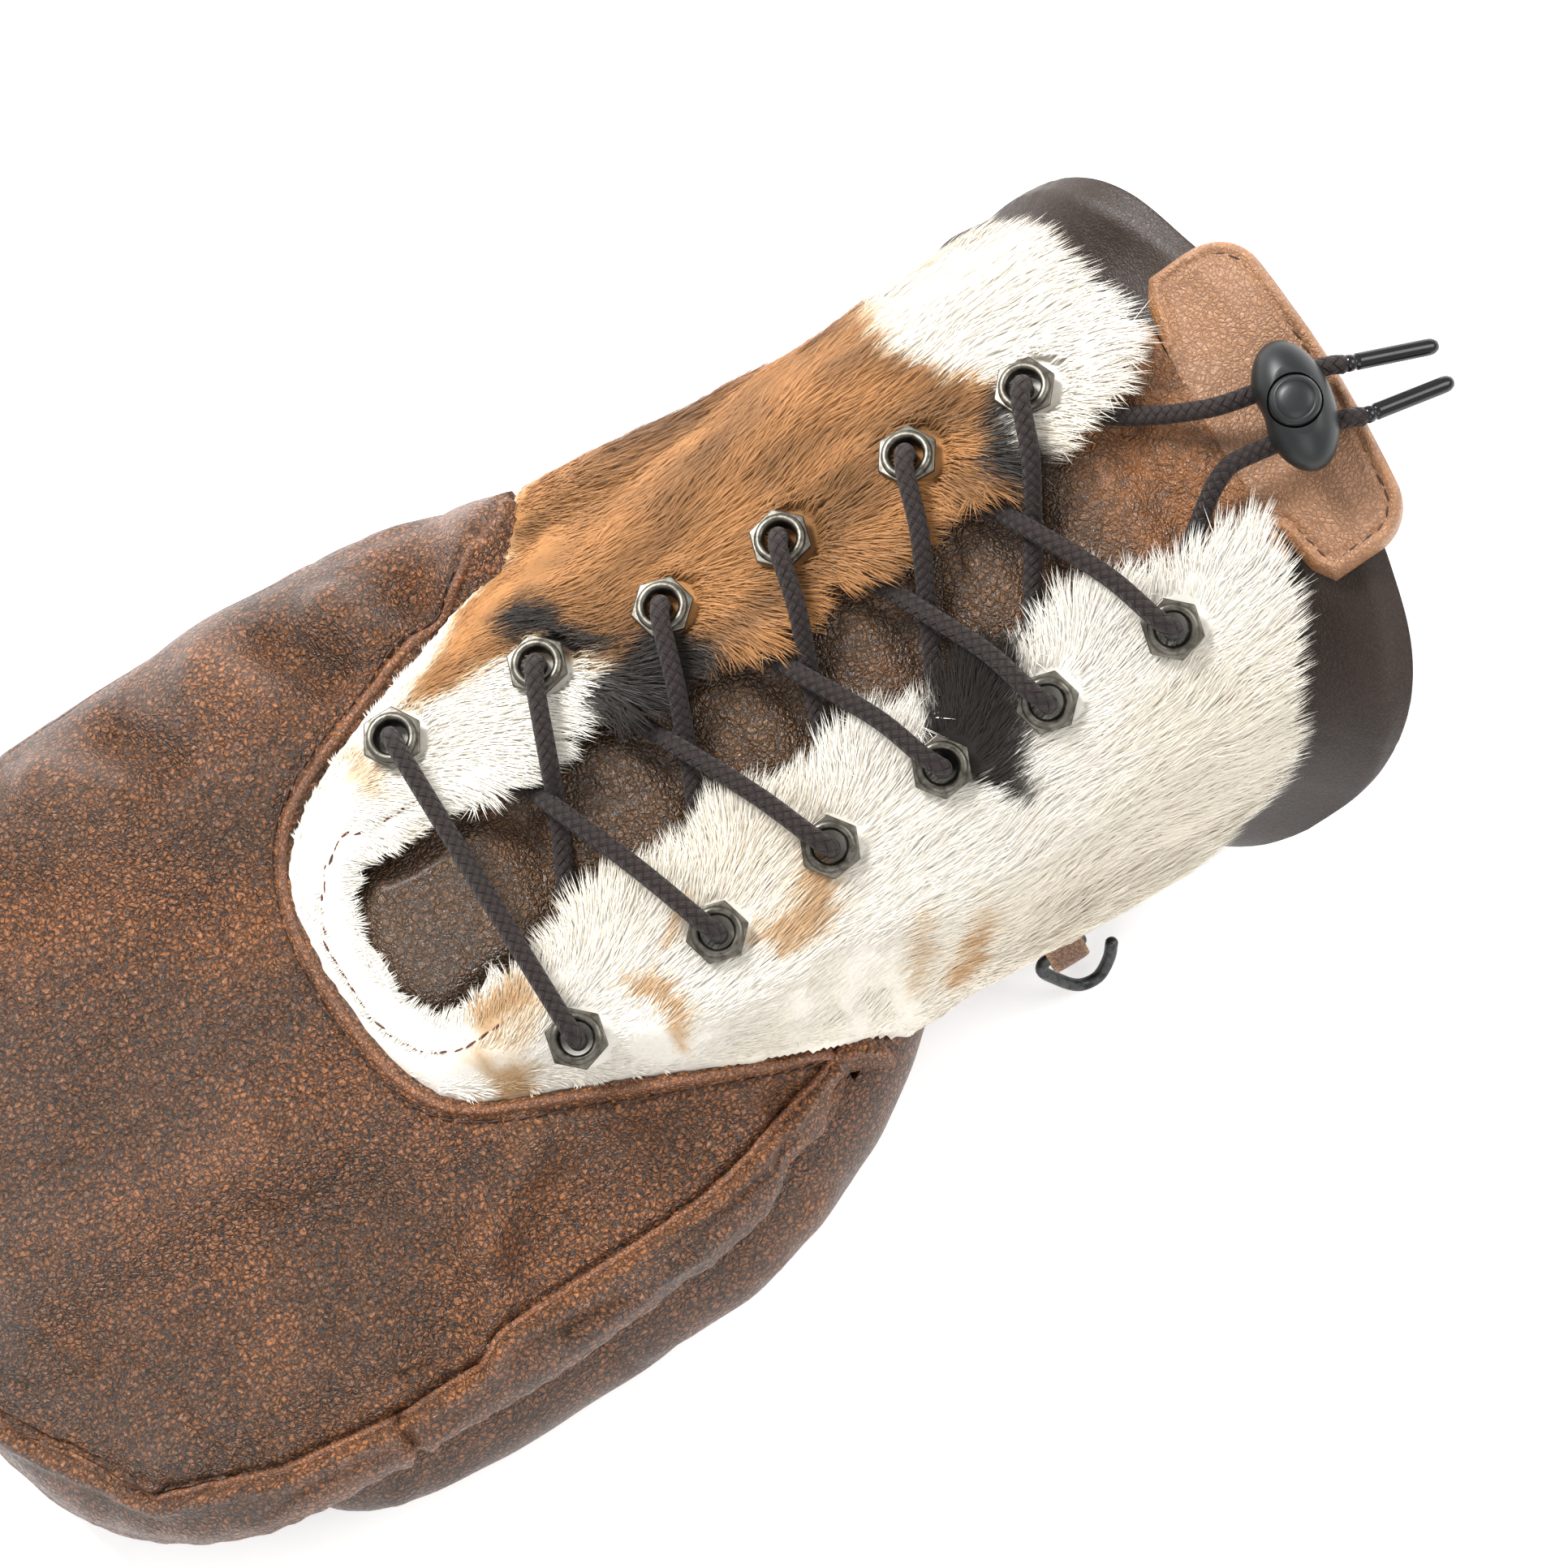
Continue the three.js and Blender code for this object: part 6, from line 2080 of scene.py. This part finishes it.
@dataclass(frozen=True)
class LeatherLook:
    """Pebbled leather in two tones, rubbed lighter where it is worn, with painted shade in the crevices
    between its pebbles.
    """

    name: str
    deep: tuple[float, ...]
    main: tuple[float, ...]
    light: tuple[float, ...]
    rubbed: tuple[float, ...]
    pebble: float = 1.05
    depth: float = 0.55
    dull: float = 0.44
    shiny: float = 0.24
    flecks: float = 0.75
    gloss: float = 0.7
    film: float = 0.0
    patchy: float = 0.8

    def make(self) -> bpy.types.Material:
        """Makes the material."""
        b = Bench(self.name)
        inputs = {"Vector": b.place, "Scale": 0.6, "Detail": 3.0}
        drift = b.add("ShaderNodeTexNoise", {}, inputs).outputs["Color"]
        inputs = {0: drift, 1: (2.0, 2.0, 2.0), 2: b.place}
        moved = b.add("ShaderNodeVectorMath", {"operation": "MULTIPLY_ADD"}, inputs).outputs[0]
        edge = b.cells(moved, 1 / self.pebble)
        dome = b.ramp(edge, 0.0, 0.3)
        crack = b.ramp(edge, 0.0, 0.17)
        small = b.ramp(b.cells(moved, 2.2 / self.pebble), 0.0, 0.24)
        crumb = b.noise(1.5 / self.pebble, 5.0, 0.7)
        fine = b.noise(3.4, 3.0, 0.6)
        mottle = b.noise(0.32, 4.0, 0.6)
        broad = b.noise(0.035, 3.0, 0.55)
        body = b.mix(b.ramp(broad, 0.42, 0.58), self.main, self.light)
        body = b.mix(b.math("MULTIPLY", b.ramp(mottle, 0.44, 0.7), 0.55), body, self.light)
        dark = b.math("MULTIPLY", b.ramp(crumb, 0.51, 0.42), 1.0 * self.patchy)
        body = b.mix(dark, body, self.deep)
        # Painted shade: the thin crevices between the pebbles are darkened towards the deep colour.
        creased = b.math("MULTIPLY", b.math("SUBTRACT", 1.0, crack), 0.85)
        body = b.mix(creased, body, self.deep)
        share = b.spread(b.ramp(broad, 0.3, 0.7), 0.35, 1.0)
        fleck = b.math("MULTIPLY", b.ramp(crumb, 0.53, 0.62), b.math("MULTIPLY", share, self.flecks))
        body = b.mix(b.math("MULTIPLY", fleck, dome), body, self.rubbed)
        worn = b.attribute("worn", "Fac")
        patchy = b.math("MULTIPLY", worn, b.spread(b.ramp(mottle, 0.32, 0.64), 0.4, 1.15), clamp=True)
        grainy = b.spread(b.math("MULTIPLY", dome, b.ramp(crumb, 0.36, 0.58)), 1 - self.patchy, 1.0)
        patchy = b.math("MULTIPLY", patchy, grainy)
        body = b.mix(patchy, body, self.rubbed)
        height = b.math("ADD", b.math("MULTIPLY", dome, 0.6), b.math("MULTIPLY", small, 0.22))
        height = b.math("ADD", height, b.math("MULTIPLY", crumb, 0.45))
        sheen = b.math("ADD", b.math("MULTIPLY", dome, 0.6), b.math("MULTIPLY", fine, 0.4))
        rough = b.spread(sheen, self.dull, self.shiny)
        fixed = {"Specular_IOR_Level": self.gloss, "Coat_Weight": self.film, "Coat_Roughness": 0.22}
        return b.finish(body, rough, b.bump(height, 0.9, self.depth), **fixed)


@dataclass(frozen=True)
class HairLook:
    """The coat's hair, coloured by each hair's own place."""

    name: str
    rough: float = 0.5

    def make(self) -> bpy.types.Material:
        """Makes the material."""
        b = Bench(self.name)
        coat = b.attribute("coat", "Color")
        streak = b.noise(1.4, 3.0, 0.6)
        colour = b.mix(b.spread(b.ramp(streak, 0.35, 0.7), 0.0, 0.10), coat, linear(150, 120, 90), "MULTIPLY")
        fixed = {"Specular_IOR_Level": 0.22, "Sheen_Weight": 0.06}
        return b.finish(colour, self.rough, b.bump(b.noise(5.0, 2.0), 0.3, 0.1), **fixed)


@dataclass(frozen=True)
class BraidLook:
    """A round braid: two sets of strands that pass over each other round the cord."""

    name: str = "lace braid"
    strands: float = 5.0
    pitch: float = 1.75

    def make(self) -> bpy.types.Material:
        """Makes the material."""
        b = Bench(self.name)
        uv = b.add("ShaderNodeUVMap", {}, {}).outputs["UV"]
        split = b.add("ShaderNodeSeparateXYZ", {}, {0: uv})
        along = b.math("DIVIDE", split.outputs["X"], self.pitch)
        around = b.math("MULTIPLY", split.outputs["Y"], self.strands)
        one, other = b.math("ADD", around, along), b.math("SUBTRACT", around, along)
        odd = b.math("FLOORED_MODULO", b.math("ADD", b.math("FLOOR", one), b.math("FLOOR", other)), 2.0)

        def arch(value: object) -> Socket:
            """A strand's round back."""
            return b.math("SINE", b.math("MULTIPLY", b.math("FRACT", value), math.pi))

        def strand(across: object, length: object) -> Socket:
            """A strand's height over one cell."""
            yarns = b.math("MULTIPLY", b.math("SINE", b.math("MULTIPLY", across, 6 * math.pi)), 0.10)
            body = b.math("MULTIPLY", b.math("POWER", arch(across), 0.6), b.spread(arch(length), 0.55, 1.0))
            return b.math("ADD", body, yarns)

        first, second = strand(one, other), strand(other, one)
        pick_one = b.math("MULTIPLY", first, odd)
        pick_other = b.math("MULTIPLY", second, b.math("SUBTRACT", 1.0, odd))
        height = b.math("ADD", pick_one, pick_other)
        fibres = b.noise(7.0, 3.0, 0.6)
        # Painted shade: the braid is near black in the hollows between the strands and lighter on their
        # raised backs.
        body = b.mix(b.ramp(height, 0.1, 0.95), linear(11, 7, 6), linear(44, 32, 29))
        body = b.mix(b.math("MULTIPLY", b.ramp(fibres, 0.45, 0.8), 0.2), body, linear(68, 52, 48))
        whole = b.math("ADD", height, b.math("MULTIPLY", fibres, 0.25))
        fixed = {"Sheen_Weight": 0.1, "Specular_IOR_Level": 0.3}
        return b.finish(body, 0.62, b.bump(whole, 1.0, 0.42), **fixed)


@dataclass(frozen=True)
class MetalLook:
    """Worn metal with a darker bloom."""

    name: str
    bright: tuple[float, ...]
    dark: tuple[float, ...]
    rough: float = 0.3

    def make(self) -> bpy.types.Material:
        """Makes the material."""
        b = Bench(self.name)
        bloom = b.noise(0.7, 4.0, 0.6)
        scratch = b.noise(5.0, 3.0, 0.7)
        colour = b.mix(b.ramp(bloom, 0.38, 0.72), self.bright, self.dark)
        rough = b.spread(scratch, self.rough - 0.08, self.rough + 0.22)
        return b.finish(colour, rough, b.bump(scratch, 0.25, 0.06), metallic=1.0)


@dataclass(frozen=True)
class PlainLook:
    """Plastic, thread or wall with a fine grain."""

    name: str
    colour: tuple[float, ...]
    other: tuple[float, ...]
    rough: float = 0.5
    grain: float = 4.0
    depth: float = 0.05
    glow: float = 0.0

    def make(self) -> bpy.types.Material:
        """Makes the material."""
        b = Bench(self.name)
        grain = b.noise(self.grain, 3.0, 0.6)
        cloud = b.noise(0.25, 3.0, 0.5)
        colour = b.mix(b.ramp(cloud, 0.35, 0.7), self.colour, self.other)
        rough = b.spread(grain, self.rough - 0.06, self.rough + 0.08)
        fixed = {"Emission_Strength": self.glow}
        return b.finish(colour, rough, b.bump(grain, 0.4, self.depth), **fixed)


def make_looks() -> Looks:
    """Makes every finish of the mitten.

    Returns:
        The materials by short names.
    """
    leather = LeatherLook(
        "pebbled leather", linear(18, 9, 4), linear(104, 66, 37), linear(138, 86, 48), linear(196, 126, 72),
    )
    tongue = LeatherLook(
        "tongue leather", linear(20, 12, 6), linear(90, 62, 37), linear(108, 75, 45), linear(156, 100, 54),
        pebble=1.1, depth=0.5, dull=0.34, shiny=0.17, flecks=0.05, gloss=1.0, film=0.1, patchy=0.15,
    )
    tab = LeatherLook(
        "tab leather", linear(122, 84, 56), linear(158, 114, 80), linear(166, 122, 88), linear(184, 130, 86),
        pebble=0.9, depth=0.18, dull=0.44, shiny=0.28, flecks=0.1, patchy=0.35,
    )
    lining = LeatherLook(
        "lining leather", linear(36, 25, 19), linear(48, 35, 27), linear(54, 40, 31), linear(70, 52, 42),
        pebble=0.7, depth=0.05, dull=0.50, shiny=0.38, flecks=0.05, gloss=0.4, patchy=0.3,
    )
    strap = LeatherLook(
        "strap leather", linear(64, 40, 24), linear(112, 74, 46), linear(134, 92, 58), linear(196, 150, 104),
        pebble=0.7, depth=0.08, dull=0.6, shiny=0.45, flecks=0.3,
    )
    edge = LeatherLook(
        "rubbed edge", linear(70, 40, 24), linear(138, 88, 52), linear(160, 102, 60), linear(190, 126, 76),
        pebble=0.8, depth=0.24, dull=0.5, shiny=0.32, flecks=0.3,
    )
    return {
        "edge": edge.make(), "leather": leather.make(), "tongue": tongue.make(), "tab": tab.make(),
        "lining": lining.make(),
        "strap": strap.make(), "hair": HairLook("coat hair").make(), "pelt": HairLook("pelt", 0.8).make(),
        "lace": BraidLook().make(),
        "nickel": MetalLook("aged nickel", linear(116, 112, 103), linear(72, 68, 62), 0.32).make(),
        "hook": MetalLook("dark wire", linear(84, 86, 86), linear(50, 50, 50), 0.38).make(),
        "gloss": PlainLook("gloss black", linear(14, 14, 15), linear(18, 18, 19), 0.14, 2.0, 0.01).make(),
        "lock": PlainLook("matte black", linear(18, 21, 22), linear(23, 27, 28), 0.4, 6.0, 0.03).make(),
        "thread_red": PlainLook(
            "red brown thread", linear(104, 54, 32), linear(76, 38, 22), 0.6, 3.0, 0.1,
        ).make(),
        "thread_dark": PlainLook(
            "dark brown thread", linear(70, 44, 30), linear(52, 34, 24), 0.6, 3.0, 0.1,
        ).make(),
        "floor": PlainLook(
            "pale floor", linear(246, 246, 246), linear(244, 244, 244), 0.8, 0.05, 0.0, 0.34,
        ).make(),
    }


# Studio


@dataclass(frozen=True)
class Studio:
    """The floor, the lights and the camera."""

    target: tuple[float, float, float] = (41.0, -6.0, 65.0)
    view_width: float = 241.5
    distance: float = 1050.0
    tilt: float = 7.5
    right: tuple[float, float, float] = (PHOTO_COS, -PHOTO_SIN, 0.0)
    up: tuple[float, float, float] = (PHOTO_SIN, PHOTO_COS, 0.0)
    lamps: tuple[tuple[str, tuple[float, float, float], float, float], ...] = (
        ("key", (-0.75, 0.85, 1.05), 0.45, 33.0),
        ("side", (1.1, 0.35, 0.9), 0.8, 9.0),
        ("front", (0.2, -1.1, 1.1), 1.0, 6.0),
    )
    ambient: float = 0.68
    floor_size: float = 8.0
    floor_drop: float = 0.0002

    def metres(self, right: float, up: float, high: float) -> Vector:
        """A place given in metres to the picture's right, up it and above the target."""
        target = Vector(to_metres(np.array(self.target)))
        return target + Vector(self.right) * right + Vector(self.up) * up + Vector((0, 0, high))

    def aim(self, thing: bpy.types.Object, up: Vector) -> None:
        """Turns a light or camera to the target."""
        target = Vector(to_metres(np.array(self.target)))
        away = (thing.location - target).normalized()
        side = up.cross(away).normalized()
        turn = Matrix((side, away.cross(side), away)).transposed()
        thing.rotation_euler = turn.to_euler()

    def build(self, looks: Looks) -> None:
        """Sets up the camera, the lights and the floor.

        Args:
            looks: the materials by name.
        """
        scene = bpy.context.scene
        lens = bpy.data.cameras.new("camera")
        lens.lens = 36 * self.distance / self.view_width
        lens.clip_start, lens.clip_end = 0.05, 20
        camera = bpy.data.objects.new("camera", lens)
        scene.collection.objects.link(camera)
        tilt = math.radians(self.tilt)
        away = Vector((0.0, -math.sin(tilt), math.cos(tilt)))
        camera.location = Vector(to_metres(np.array(self.target))) + away * self.distance * MM
        self.aim(camera, Vector(self.up))
        scene.camera = camera
        for name, place, size, energy in self.lamps:
            lamp = bpy.data.lights.new(name, "AREA")
            lamp.size = size
            lamp.energy = energy
            light = bpy.data.objects.new(name, lamp)
            scene.collection.objects.link(light)
            light.location = self.metres(*place)
            self.aim(light, Vector((0.1, 0.2, 1.0)))
        world = bpy.data.worlds.new("studio")
        world.use_nodes = True
        sky = world.node_tree.nodes["Background"]
        sky.inputs["Color"].default_value = (1, 1, 1, 1)
        sky.inputs["Strength"].default_value = self.ambient
        scene.world = world
        scene.view_settings.view_transform = "Standard"
        deselect()
        bpy.ops.mesh.primitive_plane_add(size=self.floor_size, location=(0, 0, -self.floor_drop))
        floor = bpy.context.object
        floor.name = "floor"
        floor.data.materials.append(looks["floor"])


def main() -> None:
    """Builds the mitten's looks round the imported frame."""
    logging.basicConfig(level=logging.INFO, format="%(message)s")
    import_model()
    looks = make_looks()
    form, lines = HandForm(), SeamLines()
    Studio().build(looks)
    shell = LeatherShell(form, lines)
    shell.build(looks)
    shell.build_thumb(looks)
    tongue = Tongue(form, lines)
    tongue.build(looks)
    laid = FurCollar(form, lines, Coat()).build(looks)
    lock = CordLock(form)
    lock.build(looks)
    lacing = Lacing(form, lines)
    lacing.build_eyelets(looks["nickel"])
    LOG.info("lace length %.0f mm", lacing.build_lace(looks, lock.place()))
    HookAndStrap().build(looks)
    Stitching(shell).build(looks, laid, tongue)
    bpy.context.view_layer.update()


if __name__ == "__main__":
    main()
